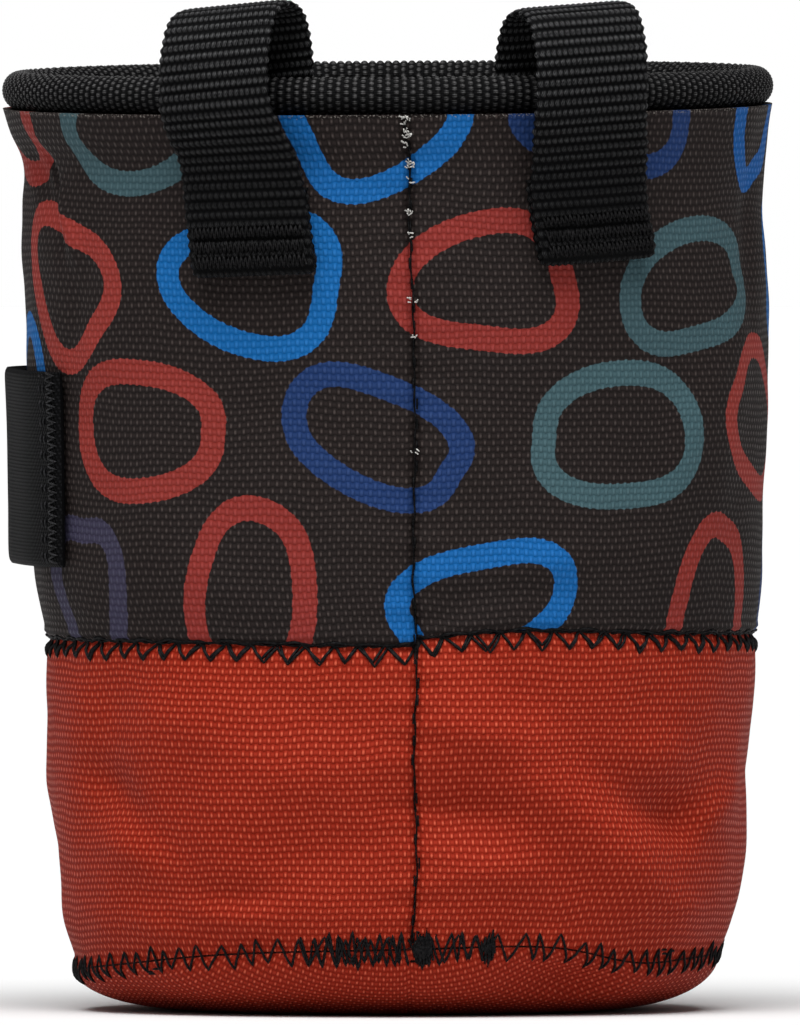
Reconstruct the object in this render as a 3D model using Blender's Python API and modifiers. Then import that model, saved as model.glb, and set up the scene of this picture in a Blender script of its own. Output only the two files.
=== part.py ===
# Climbing chalk bag: a soft hollow bag with a stiff taped rim, two webbing belt loops that
# arch over the rim, and an elastic brush loop on its left side.
# Metres, +Z up. The side with the belt loops faces -Y. The origin is the centre of the flat
# patch that the bag stands on. An angle is 0 on the belt-loop side and grows towards +X.

import math

import bpy
import numpy as np

MM = 0.001

# Driving dimensions of the bag
RIM_WIDTH = 120.3 * MM  # outside of the rim, left to right
RIM_DEPTH = 108.0 * MM  # outside of the rim, near to far
RIM_CENTRE = 144.0 * MM  # centre of the rim's section above the floor
RIM_THICK = 5.2 * MM  # the taped rim's section, across
RIM_TALL = 5.8 * MM  # the taped rim's section, up and down
RIM_RISE = 0.8 * MM  # how much higher the rim's right end is than its left
RIM_PITCH = 2.6 * MM  # how much higher the rim's far side is than its near side
MIDDLE_SEAM = 58.2 * MM  # where printed and red cloth meet
BASE_SEAM = 8.6 * MM  # where the red wall meets the base panel
BASE_ROUND = 19.0 * MM  # how far the base curves in from its seam to the flat patch
WALL = 1.4 * MM  # cloth with its backing
GAP = 0.3 * MM  # clearance between neighbouring pieces
ROUNDNESS = 2.08  # 2 is an ellipse, more is squarer

# Driving dimensions of the webbing and the elastic
WEBBING_WIDTH = 19.0 * MM
WEBBING_THICK = 1.5 * MM
HEM = 13.5 * MM  # the folded-under end of a belt loop
TACK = 7.0 * MM  # height of the bar-tacked patch
OUTER_SPACE = 5.0 * MM  # free space between the rim and a belt loop's outer leg
INNER_SPACE = 3.0 * MM  # free space between the rim and a belt loop's inner leg
ARCH_TOP = 157.0 * MM  # top of the belt loops
INNER_LEG = 20.0 * MM  # how far the inner leg goes down below the rim's centre
ELASTIC_HEIGHT = 30.6 * MM
ELASTIC_THICK = 1.5 * MM
ELASTIC_BOTTOM = 69.6 * MM
ELASTIC_BOW = 7.0 * MM  # free space behind the bow of the brush loop

# Smoothness
ROUND_STEPS = 72
RIM_STEPS = 84
RIM_SIDES = 10
UPPER_ROWS = 11
LOWER_ROWS = 8
TOP_CROWDING = 1.35  # more than 1 sets the upper rows closer at the top
BASE_ROWS = 6
WEBBING_COLUMNS = 5
PATH_STEPS = 34
ELASTIC_ROWS = 4
ELASTIC_STEPS = 34
SMALL_TURN = 0.01  # radians, for the cloth's length per turn

# Sections of the cloth between the base seam and the cloth's top edge.
# height: share of that span. width, shift: shares of the rim's half width.
# depth: share of the rim's half depth.
SECTION_COLUMNS = ("height", "width", "depth", "shift")
SECTIONS = (
    (0.000, 0.834, 0.855, 0.000),
    (0.036, 0.864, 0.885, 0.004),
    (0.084, 0.884, 0.905, 0.012),
    (0.155, 0.898, 0.918, 0.012),
    (0.225, 0.905, 0.925, 0.006),
    (0.297, 0.915, 0.930, 0.009),
    (0.368, 0.924, 0.933, 0.013),
    (0.449, 0.945, 0.945, 0.002),
    (0.533, 0.952, 0.948, 0.004),
    (0.628, 0.958, 0.950, 0.006),
    (0.710, 0.963, 0.955, 0.003),
    (0.767, 0.965, 0.960, 0.001),
    (0.828, 0.966, 0.962, -0.005),
    (0.888, 0.961, 0.962, -0.010),
    (0.946, 0.968, 0.970, -0.008),
    (0.971, 0.984, 0.985, -0.018),
    (1.000, 1.000, 1.000, -0.021),
)

# Main folds and dents of the cloth. Each is a soft stroke.
# angle: degrees. height: share of the span from base seam to top edge. lean: degrees from
# level. length, breadth, rise: shares of the rim's half width; a dent has a negative rise.
FOLD_COLUMNS = ("angle", "height", "lean", "length", "breadth", "rise")
FOLDS = (
    (20.0, 0.275, -24.0, 0.30, 0.085, 0.016),
    (46.0, 0.150, -44.0, 0.30, 0.095, 0.022),
    (52.0, 0.255, -20.0, 0.20, 0.110, -0.020),
    (28.0, 0.120, -30.0, 0.28, 0.110, -0.016),
    (6.0, 0.225, -6.0, 0.22, 0.080, -0.010),
    (-55.0, 0.250, 70.0, 0.26, 0.110, -0.014),
    (-28.0, 0.200, 84.0, 0.40, 0.190, 0.014),
    (-71.0, 0.920, -48.0, 0.20, 0.060, -0.016),
    (60.0, 0.640, 80.0, 0.34, 0.160, 0.012),
    (-40.0, 0.560, 78.0, 0.34, 0.180, 0.010),
    (128.0, 0.220, 58.0, 0.34, 0.110, 0.018),
    (158.0, 0.160, 20.0, 0.30, 0.110, -0.016),
    (-140.0, 0.180, -52.0, 0.32, 0.110, 0.016),
    (-118.0, 0.130, 28.0, 0.24, 0.110, -0.014),
    (170.0, 0.640, 84.0, 0.40, 0.180, 0.012),
)

# Line of the base seam, which wanders up and down round the bag.
# angle: degrees. rise: share of the base seam's height.
SEAM_COLUMNS = ("angle", "rise")
SEAM_LINE = (
    (-180.0, 0.04),
    (-135.0, -0.10),
    (-90.0, -0.28),
    (-60.0, -0.12),
    (-30.0, 0.12),
    (0.0, 0.22),
    (28.0, 0.24),
    (48.0, -0.06),
    (64.0, -0.02),
    (90.0, 0.06),
    (135.0, -0.08),
    (180.0, 0.04),
)

# Dents of the base panel's rounded edge, in the same words, with turn for how far round the
# edge from the seam the dent lies, as a share of the way to the flat patch.
BASE_DENT_COLUMNS = ("angle", "turn", "length", "breadth", "rise")
BASE_DENTS = (
    (33.0, 0.30, 0.22, 0.30, -0.020),
    (-62.0, 0.35, 0.20, 0.30, -0.012),
    (150.0, 0.30, 0.24, 0.30, -0.014),
)

# Belt loops. Angles in degrees: tack and rim are where the webbing's middle lies low on the
# cloth and at the rim, facing is where the arch looks, roll is the tilt of its top line.
# bottom: share of the rim's height.
LOOP_COLUMNS = ("tack", "rim", "facing", "roll", "bottom")
BELT_LOOPS = {
    "belt_loop_left": (-20.6, -22.9, -28.0, 5.0, 0.797),
    "belt_loop_right": (31.3, 28.0, 26.0, 4.0, 0.812),
}

# Brush loop, angles in degrees: the sewn ends and the free bow between them.
BRUSH_FRONT_EDGE = -64.0
BRUSH_FRONT_SEAM = -78.0
BRUSH_BACK_SEAM = -150.0
BRUSH_BACK_EDGE = -160.0
BOW_SHARPNESS = 2.0  # more than 1 eases the bow into its sewn ends
BOW_LAG = 1.3  # more than 1 sets the bow's crest nearer its back seam

HALF_WIDTH = RIM_WIDTH / 2
HALF_DEPTH = RIM_DEPTH / 2
RIM_MIDDLE = SECTIONS[-1][3] * HALF_WIDTH


def columns(table, names):
    """A table's columns as arrays, by name."""
    return dict(zip(names, np.array(table, dtype=float).T))


def cloth_top():
    """Height of the cloth's top edge, which lies just under the rim's round section."""
    across = (RIM_THICK / 2 - WALL) / (RIM_THICK / 2)
    return RIM_CENTRE - RIM_TALL / 2 * math.sqrt(1 - across**2) - GAP


def smooth(at, known, values):
    """A curve through the known points, straight in its slope from each to the next."""
    slopes = np.gradient(values, known)
    place = np.clip(np.searchsorted(known, at, side="right") - 1, 0, len(known) - 2)
    step = known[place + 1] - known[place]
    t = np.clip((at - known[place]) / step, 0, 1)
    low, high = values[place], values[place + 1]
    rise = slopes[place] * step
    fall = slopes[place + 1] * step
    return (
        (2 * t**3 - 3 * t**2 + 1) * low
        + (t**3 - 2 * t**2 + t) * rise
        + (3 * t**2 - 2 * t**3) * high
        + (t**3 - t**2) * fall
    )


def outline(angle, half_width, half_depth):
    """Points of the oval plan, and the outward direction at each."""
    s, c = np.sin(angle), np.cos(angle)
    power = 2 / ROUNDNESS
    x = half_width * np.sign(s) * np.abs(s) ** power
    y = -half_depth * np.sign(c) * np.abs(c) ** power
    out_x = np.sign(s) * np.abs(s) ** (2 - power) / half_width
    out_y = -np.sign(c) * np.abs(c) ** (2 - power) / half_depth
    length = np.hypot(out_x, out_y)
    return x, y, out_x / length, out_y / length


def turned(angle, middle):
    """The way round from a middle angle, in radians, between minus and plus half a turn."""
    return (angle - middle + math.pi) % (2 * math.pi) - math.pi


def fold_rise(angle, share):
    """How far the folds lift the cloth, as a share of the rim's half width."""
    total = np.zeros(np.broadcast(angle, share).shape)
    f = columns(FOLDS, FOLD_COLUMNS)
    span = (cloth_top() - BASE_SEAM) / HALF_WIDTH
    for row in range(len(FOLDS)):
        side = turned(angle, math.radians(f["angle"][row]))
        up = (share - f["height"][row]) * span
        lean = math.radians(f["lean"][row])
        along = side * math.cos(lean) + up * math.sin(lean)
        across = up * math.cos(lean) - side * math.sin(lean)
        stroke = (along / f["length"][row]) ** 2 + (across / f["breadth"][row]) ** 2
        total = total + f["rise"][row] * np.exp(-stroke)
    edge = np.clip(share / 0.06, 0, 1) * np.clip((1 - share) / 0.06, 0, 1)
    return total * edge


def rim_tilt(x, y):
    """How far the rim's plane lies above its middle at a place in plan."""
    return RIM_RISE / 2 * x / HALF_WIDTH + RIM_PITCH / 2 * y / HALF_DEPTH


def base_seam(angle):
    """Height of the base seam at an angle."""
    line = columns(SEAM_LINE, SEAM_COLUMNS)
    degrees = np.degrees(turned(angle, 0.0))
    return BASE_SEAM * (1 + smooth(degrees, line["angle"], line["rise"]))


def skin(angle, height):
    """The cloth's outside at an angle and a height: points and outward directions."""
    angle, height = np.broadcast_arrays(angle, height)
    share = np.clip((height - BASE_SEAM) / (cloth_top() - BASE_SEAM), 0, 1)
    s = columns(SECTIONS, SECTION_COLUMNS)
    half_width = smooth(share, s["height"], s["width"]) * HALF_WIDTH
    half_depth = smooth(share, s["height"], s["depth"]) * HALF_DEPTH
    x, y, out_x, out_y = outline(angle, half_width, half_depth)
    lift = fold_rise(angle, share) * HALF_WIDTH
    x = x + out_x * lift + smooth(share, s["height"], s["shift"]) * HALF_WIDTH
    y = y + out_y * lift
    z = height + rim_tilt(x, y) * share**2
    points = np.stack([x, y, z], axis=-1)
    out = np.stack([out_x, out_y, np.zeros_like(out_x)], axis=-1)
    return points, out


def make_material(name, colour, roughness, metallic=0.0):
    material = bpy.data.materials.new(name)
    material.use_nodes = True
    shader = material.node_tree.nodes["Principled BSDF"]
    shader.inputs["Base Color"].default_value = (*colour, 1.0)
    shader.inputs["Roughness"].default_value = roughness
    shader.inputs["Metallic"].default_value = metallic
    return material


def make_object(name, data, collection, material):
    thing = bpy.data.objects.new(name, data)
    data.materials.append(material)
    collection.objects.link(thing)
    return thing


def sheet_mesh(name, points):
    """An open sheet through a grid of points."""
    rows, wide = points.shape[:2]
    place = np.arange(rows * wide).reshape(rows, wide)
    corners = [place[:-1, :-1], place[:-1, 1:], place[1:, 1:], place[1:, :-1]]
    faces = np.stack(corners, axis=-1).reshape(-1, 4)
    mesh = bpy.data.meshes.new(name)
    mesh.from_pydata(points.reshape(-1, 3).tolist(), [], faces.tolist())
    mesh.shade_smooth()
    return mesh


def ring_mesh(name, rings, joined):
    """A closed body through a stack of rings. A joined stack ends where it began, and another
    one is closed by a flat face over its first ring and its last."""
    count, wide = rings.shape[:2]
    place = np.arange(count * wide).reshape(count, wide)
    this = place if joined else place[:-1]
    below = np.roll(place, -1, axis=0) if joined else place[1:]
    corners = [this, below, np.roll(below, -1, axis=1), np.roll(this, -1, axis=1)]
    faces = np.stack(corners, axis=-1).reshape(-1, 4).tolist()
    if not joined:
        faces.append(place[0].tolist())
        faces.append(place[-1][::-1].tolist())
    mesh = bpy.data.meshes.new(name)
    mesh.from_pydata(rings.reshape(-1, 3).tolist(), [], faces)
    mesh.shade_smooth()
    mesh.set_sharp_from_angle(angle=math.radians(50))
    return mesh


def thicken(thing, thickness):
    """Gives an open sheet its thickness, half on each side."""
    solid = thing.modifiers.new("thickness", "SOLIDIFY")
    solid.thickness = thickness
    solid.offset = 0.0
    solid.use_even_offset = True


def round_angles():
    return np.linspace(0, 2 * math.pi, ROUND_STEPS, endpoint=False)


def wall(name, heights, collection, material):
    """A band of the cloth: rings down its outside and up its inside."""
    outside, out = skin(round_angles(), heights)
    inside = outside - out * WALL
    rings = np.concatenate([outside, inside[::-1]])
    return make_object(name, ring_mesh(name, rings, joined=True), collection, material)


def upper_body(collection, material):
    steps = np.linspace(0, 1, UPPER_ROWS)[:, None] ** TOP_CROWDING
    top, bottom = cloth_top(), MIDDLE_SEAM + GAP / 2
    return wall("upper_body", top + (bottom - top) * steps, collection, material)


def lower_body(collection, material):
    steps = np.linspace(0, 1, LOWER_ROWS)[:, None]
    top, bottom = MIDDLE_SEAM - GAP / 2, base_seam(round_angles()) + GAP / 2
    return wall("lower_body", top + (bottom - top) * steps, collection, material)


def base_rise(angle, turn):
    """How far the dents push the base's rounded edge, as a share of the rim's half width."""
    total = np.zeros(np.broadcast(angle, turn).shape)
    d = columns(BASE_DENTS, BASE_DENT_COLUMNS)
    for row in range(len(BASE_DENTS)):
        side = turned(angle, math.radians(d["angle"][row])) / d["length"][row]
        down = (turn - d["turn"][row]) / d["breadth"][row]
        total = total + d["rise"][row] * np.exp(-(side**2) - down**2)
    return total * np.clip(turn / 0.15, 0, 1) * np.clip((1 - turn) / 0.3, 0, 1)


def base_panel(collection, material):
    """The base: a quarter of an oval arc from the seam to a flat middle, as a shallow dish."""
    height = base_seam(round_angles())
    seam, out = skin(round_angles(), height)
    bends = np.linspace(0, math.pi / 2, BASE_ROWS)
    outside, inside = [], []
    for bend in bends:
        dent = base_rise(round_angles(), bend / (math.pi / 2)) * HALF_WIDTH
        inward = BASE_ROUND * (1 - math.cos(bend)) - dent
        ring = seam - out * inward[:, None]
        ring[:, 2] = (height - GAP / 2) * (1 - math.sin(bend))
        facing = out * math.cos(bend)
        facing[:, 2] = -math.sin(bend)
        outside.append(ring)
        inside.append(ring - facing * WALL)
    rings = np.array(inside[::-1] + outside)
    mesh = ring_mesh("base_panel", rings, joined=False)
    return make_object("base_panel", mesh, collection, material)


def rim_binding(collection, guides, material):
    """The taped rim: an oval section carried once round the bag's mouth."""
    section = bpy.data.curves.new("rim_section", "CURVE")
    spline = section.splines.new("POLY")
    turns = np.linspace(0, -2 * math.pi, RIM_SIDES, endpoint=False)
    spline.points.add(len(turns) - 1)
    for point, turn in zip(spline.points, turns):
        point.co = (RIM_THICK / 2 * math.cos(turn), RIM_TALL / 2 * math.sin(turn), 0, 1)
    spline.use_cyclic_u = True
    guide = bpy.data.objects.new("rim_section", section)
    guide.hide_render = True
    guide.display_type = "WIRE"
    guides.objects.link(guide)

    path = bpy.data.curves.new("rim_binding", "CURVE")
    path.dimensions = "3D"
    path.twist_mode = "Z_UP"
    path.bevel_mode = "OBJECT"
    path.bevel_object = guide
    route = path.splines.new("POLY")
    angles = np.linspace(0, 2 * math.pi, RIM_STEPS, endpoint=False)
    x, y, _, _ = outline(angles, HALF_WIDTH - RIM_THICK / 2, HALF_DEPTH - RIM_THICK / 2)
    x = x + RIM_MIDDLE
    z = RIM_CENTRE + rim_tilt(x, y)
    route.points.add(RIM_STEPS - 1)
    for point, place in zip(route.points, zip(x, y, z)):
        point.co = (*place, 1)
    route.use_cyclic_u = True
    return make_object("rim_binding", path, collection, material)


def even_path(points, steps):
    """A smooth path through a few points, with steps points evenly spaced along it."""
    points = np.array(points)
    lengths = np.hypot(*np.diff(points, axis=0).T)
    known = np.concatenate([[0], np.cumsum(lengths)])
    fine = np.linspace(0, known[-1], 40 * len(points))
    curve = np.stack([smooth(fine, known, column) for column in points.T], axis=-1)
    run = np.concatenate([[0], np.cumsum(np.hypot(*np.diff(curve, axis=0).T))])
    at = np.linspace(0, run[-1], steps)
    return np.stack([np.interp(at, run, column) for column in curve.T], axis=-1)


def loop_places():
    """Distances out from the cloth's outside, in the order that the webbing passes them: the
    hem, the layer over it, the outer leg and the inner leg at the rim, the end inside."""
    half = WEBBING_THICK / 2
    hem = GAP + half
    over = hem + WEBBING_THICK + GAP
    leg = OUTER_SPACE + half
    inside = -RIM_THICK - INNER_SPACE - half
    return hem, over, leg, inside, -WALL - GAP - half


def loop_route(bottom):
    """A belt loop's middle line from its hidden hem to its end inside the bag: distance out
    from the cloth's outside, and height."""
    hem, over, leg, inside, lining = loop_places()
    half = WEBBING_THICK / 2
    span = leg - inside
    bend = (over - hem) / 2
    middle = bottom + half + bend
    turns = np.linspace(math.pi, 2 * math.pi, 9)
    fold = np.stack([hem + bend + bend * np.cos(turns), middle + bend * np.sin(turns)], axis=-1)
    folded = np.array([(hem, bottom + share * HEM) for share in (1.0, 0.75, 0.5)])
    crown = ARCH_TOP - half
    rise = RIM_CENTRE - bottom
    drop = crown - RIM_CENTRE
    rest = [
        (over, bottom + TACK),
        (over + 0.12 * (leg - over), bottom + HEM),
        (over + 0.62 * (leg - over), bottom + 0.72 * rise),
        (leg, RIM_CENTRE),
        (leg - 0.05 * span, RIM_CENTRE + 0.55 * drop),
        (leg - 0.22 * span, RIM_CENTRE + 0.90 * drop),
        (leg - 0.50 * span, crown),
        (leg - 0.80 * span, RIM_CENTRE + 0.88 * drop),
        (leg - 0.97 * span, RIM_CENTRE + 0.50 * drop),
        (inside, RIM_CENTRE),
        (inside + 0.40 * (lining - inside), RIM_CENTRE - 0.30 * INNER_LEG),
        (inside + 0.88 * (lining - inside), RIM_CENTRE - 0.58 * INNER_LEG),
        (lining, RIM_CENTRE - 0.80 * INNER_LEG),
        (lining, RIM_CENTRE - INNER_LEG),
    ]
    return np.concatenate([folded, fold, even_path(rest, PATH_STEPS)])


def belt_loop(name, collection, material):
    """Webbing that lies on the cloth at its two ends and stands free over the rim."""
    loop = dict(zip(LOOP_COLUMNS, BELT_LOOPS[name]))
    bottom = loop["bottom"] * RIM_CENTRE
    _, over, leg, inside, lining = loop_places()
    away, height = loop_route(bottom).T
    top = cloth_top()

    outward = (away - over) / (leg - over)
    inward = (lining - away) / (lining - inside)
    free = np.clip(np.maximum(outward, inward), 0, 1)
    free = np.where(height > RIM_CENTRE, 1.0, free)[:, None, None]
    climb = np.clip((height - bottom) / (top - bottom), 0, 1)
    middle = np.radians(loop["tack"] + (loop["rim"] - loop["tack"]) * climb)

    # Where it is sewn, the webbing bends round with the cloth.
    across = np.linspace(-0.5, 0.5, WEBBING_COLUMNS) * WEBBING_WIDTH
    low = np.minimum(height, top)
    on_cloth, _ = skin(middle, low)
    nearby, _ = skin(middle + SMALL_TURN, low)
    per_radian = np.linalg.norm((nearby - on_cloth)[:, :2], axis=1) / SMALL_TURN
    points, out = skin(middle[:, None] + across / per_radian[:, None], low[:, None])
    sewn = points + out * away[:, None, None]
    sewn[:, :, 2] = height[:, None]

    # Where it is free, it is flat across and looks one way.
    look, tilt = math.radians(loop["facing"]), math.radians(loop["roll"])
    ahead = np.array([math.sin(look), -math.cos(look), 0.0])
    beside = np.array([math.cos(look), math.sin(look), math.tan(tilt)]) * math.cos(tilt)
    centre = on_cloth + ahead * away[:, None]
    centre[:, 2] = height
    flat = centre[:, None, :] + beside * across[None, :, None]

    sheet = sheet_mesh(name, sewn * (1 - free) + flat * free)
    strap = make_object(name, sheet, collection, material)
    thicken(strap, WEBBING_THICK)
    return strap


def brush_loop(collection, material):
    """Elastic sewn flat at both ends, with a bow that stands off the cloth between them."""
    angles = np.radians(np.linspace(BRUSH_FRONT_EDGE, BRUSH_BACK_EDGE, ELASTIC_STEPS))
    front, back = math.radians(BRUSH_FRONT_SEAM), math.radians(BRUSH_BACK_SEAM)
    share = np.clip((angles - front) / (back - front), 0, 1)
    bow = ELASTIC_BOW * np.sin(math.pi * share**BOW_LAG) ** BOW_SHARPNESS
    away = GAP + ELASTIC_THICK / 2 + bow
    heights = ELASTIC_BOTTOM + np.linspace(0, 1, ELASTIC_ROWS) * ELASTIC_HEIGHT
    points, out = skin(angles[:, None], heights[None, :])
    sheet = sheet_mesh("brush_loop", points + out * away[:, None, None])
    band = make_object("brush_loop", sheet, collection, material)
    thicken(band, ELASTIC_THICK)
    return band


def clear_scene():
    for thing in list(bpy.data.objects):
        bpy.data.objects.remove(thing, do_unlink=True)


def new_collection(name):
    collection = bpy.data.collections.new(name)
    bpy.context.scene.collection.children.link(collection)
    return collection


def main():
    clear_scene()
    bag = new_collection("chalk_bag")
    guides = new_collection("guides")

    tape = make_material("rim_tape", (0.012, 0.012, 0.013), 0.72)
    printed = make_material("printed_canvas", (0.045, 0.036, 0.034), 0.78)
    red_wall = make_material("red_cloth", (0.42, 0.055, 0.020), 0.70)
    red_base = make_material("base_cloth", (0.42, 0.055, 0.020), 0.70)
    webbing_left = make_material("webbing_left", (0.010, 0.010, 0.011), 0.60)
    webbing_right = make_material("webbing_right", (0.010, 0.010, 0.011), 0.60)
    elastic = make_material("elastic", (0.011, 0.011, 0.012), 0.65)

    rim_binding(bag, guides, tape)
    upper_body(bag, printed)
    lower_body(bag, red_wall)
    base_panel(bag, red_base)
    belt_loop("belt_loop_left", bag, webbing_left)
    belt_loop("belt_loop_right", bag, webbing_right)
    brush_loop(bag, elastic)


main()
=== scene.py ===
import itertools
import math
import bpy
import numpy as np
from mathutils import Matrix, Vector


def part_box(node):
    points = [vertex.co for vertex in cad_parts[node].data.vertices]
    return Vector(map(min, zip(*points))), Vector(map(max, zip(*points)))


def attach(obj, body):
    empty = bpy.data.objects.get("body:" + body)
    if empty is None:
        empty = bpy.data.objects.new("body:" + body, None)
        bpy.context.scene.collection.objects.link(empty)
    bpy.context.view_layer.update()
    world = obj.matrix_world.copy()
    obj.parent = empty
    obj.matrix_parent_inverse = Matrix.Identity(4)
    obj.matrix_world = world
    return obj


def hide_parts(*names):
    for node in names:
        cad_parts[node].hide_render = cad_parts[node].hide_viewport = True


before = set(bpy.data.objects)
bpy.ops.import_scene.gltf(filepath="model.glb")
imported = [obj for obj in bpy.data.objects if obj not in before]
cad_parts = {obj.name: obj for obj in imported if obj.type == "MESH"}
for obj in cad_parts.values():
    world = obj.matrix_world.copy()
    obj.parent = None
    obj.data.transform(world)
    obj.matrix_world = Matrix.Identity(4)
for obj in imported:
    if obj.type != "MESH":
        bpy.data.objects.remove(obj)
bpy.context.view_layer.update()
print("frame loaded")

# Lengths below are in millimetres, and mm turns them into the scene's metres.
# An angle goes round the bag, 0 on the belt-loop side, growing towards +X.
mm = 0.001

rimLow, rimHigh = (np.array(corner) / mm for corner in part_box("rim_binding"))

bag = {
    "halfWidth": (rimHigh[0] - rimLow[0]) / 2,
    "halfDepth": (rimHigh[1] - rimLow[1]) / 2,
    "rimMiddle": (rimHigh[0] + rimLow[0]) / 2,
    "rimCentre": 144.0,
    "rimThick": 5.2,
    "rimTall": 5.8,
    "rimRise": 0.8,      # right end above left end
    "rimPitch": 2.6,     # far side above near side
    "middleSeam": 58.2,
    "baseSeam": 8.6,
    "baseRound": 19.0,
    "wall": 1.4,
    "gap": 0.3,
    "roundness": 2.08,   # 2 is an ellipse, more is squarer
    "backSeam": 2.3,     # degrees, where the wall's two ends are sewn together
    "meanRadius": 0.93,  # the cloth's, as a share of the rim's half width
}

# height: share of the way from base seam to cloth's edge; width, depth, shift: shares of the rim's
sections = np.array([
    (0.000, 0.834, 0.855, 0.000), (0.036, 0.864, 0.885, 0.004), (0.084, 0.884, 0.905, 0.012),
    (0.155, 0.898, 0.918, 0.012), (0.225, 0.905, 0.925, 0.006), (0.297, 0.915, 0.930, 0.009),
    (0.368, 0.924, 0.933, 0.013), (0.449, 0.945, 0.945, 0.002), (0.533, 0.952, 0.948, 0.004),
    (0.628, 0.958, 0.950, 0.006), (0.710, 0.963, 0.955, 0.003), (0.767, 0.965, 0.960, 0.001),
    (0.828, 0.966, 0.962, -0.005), (0.888, 0.961, 0.962, -0.010), (0.946, 0.968, 0.970, -0.008),
    (0.971, 0.984, 0.985, -0.018), (1.000, 1.000, 1.000, -0.021),
])

# Main folds, which the solids have too: angle, height share, lean, length, breadth and rise, with
# angle and lean in degrees and the last three as shares of the rim's half width
mainFolds = [
    (20.0, 0.275, -24.0, 0.30, 0.085, 0.016), (46.0, 0.095, -40.0, 0.30, 0.095, 0.020),
    (52.0, 0.178, -16.0, 0.18, 0.080, -0.018), (28.0, 0.120, -30.0, 0.28, 0.110, -0.006),
    (6.0, 0.178, -6.0, 0.22, 0.080, -0.010), (-55.0, 0.250, 70.0, 0.26, 0.110, -0.014),
    (-28.0, 0.200, 84.0, 0.40, 0.190, 0.014), (-71.0, 0.920, -48.0, 0.20, 0.060, -0.016),
    (60.0, 0.640, 80.0, 0.34, 0.160, 0.012), (-40.0, 0.560, 78.0, 0.34, 0.180, 0.010),
    (128.0, 0.220, 58.0, 0.34, 0.110, 0.018), (158.0, 0.160, 20.0, 0.30, 0.110, -0.016),
    (-140.0, 0.180, -52.0, 0.32, 0.110, 0.016), (-118.0, 0.130, 28.0, 0.24, 0.110, -0.014),
    (170.0, 0.640, 84.0, 0.40, 0.180, 0.012),
]

folds = {"main": 1.5, "small": 2.3}     # how strongly they show, as shares of their rises

# Smaller folds in millimetres: angle, height, lean, length, breadth, rise, and how far it curves
smallFolds = [
    (29.0, 30.0, -37.0, 21.0, 5.0, 0.85, 0.004), (31.0, 40.5, -36.0, 19.0, 4.2, -0.60, 0.006),
    (12.0, 44.0, -14.0, 10.0, 3.4, 0.45, -0.010), (10.0, 32.0, -5.0, 9.0, 3.0, -0.55, 0.000),
    (13.0, 22.5, 2.0, 13.0, 3.6, 0.45, 0.000), (50.0, 31.5, -14.0, 9.0, 3.4, -0.70, 0.010),
    (47.0, 40.0, -18.0, 10.0, 4.0, 0.45, 0.010), (64.0, 31.0, 24.0, 9.0, 3.6, 0.50, 0.010),
    (60.0, 14.5, -20.0, 10.0, 3.6, 0.40, 0.000), (26.0, 14.0, 4.0, 14.0, 2.4, -0.25, 0.010),
    (-40.0, 45.0, 4.0, 16.0, 6.0, 0.45, 0.006), (-55.0, 35.5, -22.0, 10.0, 3.2, -0.60, 0.010),
    (-51.0, 25.5, -12.0, 11.0, 3.8, 0.50, 0.008), (-12.0, 38.0, 8.0, 14.0, 6.0, 0.50, 0.004),
    (-12.0, 25.0, 5.0, 14.0, 5.0, -0.35, 0.004), (-28.0, 14.0, 0.0, 8.0, 2.4, 0.40, -0.012),
    (-28.0, 18.8, 0.0, 8.0, 2.2, -0.32, -0.012), (-46.0, 13.0, -10.0, 9.0, 2.4, 0.30, 0.010),
    (-66.0, 130.0, -60.0, 9.0, 1.6, -0.80, 0.020), (-62.0, 125.5, -52.0, 10.0, 2.0, 0.50, 0.020),
    (-58.0, 112.0, 70.0, 12.0, 3.0, -0.30, 0.010), (71.0, 120.0, 80.0, 12.0, 3.2, -0.35, 0.010),
    (14.0, 66.0, 12.0, 10.0, 2.6, -0.45, 0.020), (22.0, 70.0, 20.0, 12.0, 3.0, 0.30, 0.010),
    (52.0, 92.0, 62.0, 16.0, 4.5, 0.30, 0.010), (-30.0, 84.0, 70.0, 18.0, 5.0, -0.25, 0.006),
    (100.0, 108.0, 74.0, 16.0, 4.0, -0.60, 0.010), (132.0, 96.0, 82.0, 20.0, 5.0, 0.55, 0.006),
    (160.0, 118.0, -70.0, 12.0, 3.4, -0.55, 0.010), (-160.0, 92.0, 78.0, 18.0, 5.0, 0.50, 0.008),
    (106.0, 36.0, -52.0, 18.0, 5.0, 0.35, 0.014), (142.0, 24.0, 38.0, 16.0, 3.6, -0.70, 0.012),
    (-100.0, 30.0, 44.0, 16.0, 4.6, 0.38, 0.012), (-152.0, 40.0, -40.0, 18.0, 4.0, -0.70, 0.010),
    (176.0, 30.0, -62.0, 16.0, 4.0, 0.70, 0.010), (-126.0, 14.0, 8.0, 14.0, 2.6, 0.45, 0.000),
]

# angle and rise of the wandering base seam, as a share of its height
seamLine = np.array([
    (-180.0, 0.04), (-135.0, -0.10), (-90.0, -0.28), (-60.0, -0.12), (-30.0, 0.12), (0.0, 0.22),
    (28.0, 0.24), (48.0, -0.06), (64.0, -0.02), (90.0, 0.06), (135.0, -0.08), (180.0, 0.04),
])

# way round from the back seam in degrees, and how far the middle seam runs above its level there
middleLine = np.array([
    (0.0, 0.8), (14.0, 1.8), (40.0, 1.3), (88.0, 0.6), (180.0, 0.2), (270.0, 0.0), (330.0, -0.1),
    (352.0, -0.4), (360.0, -0.45),
])

# angle, turn, length, breadth and rise of the dents in the base's rounded edge
baseDents = [
    (33.0, 0.30, 0.20, 0.22, -0.060), (-62.0, 0.35, 0.20, 0.30, -0.014),
    (150.0, 0.30, 0.24, 0.30, -0.014),
]


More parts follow.
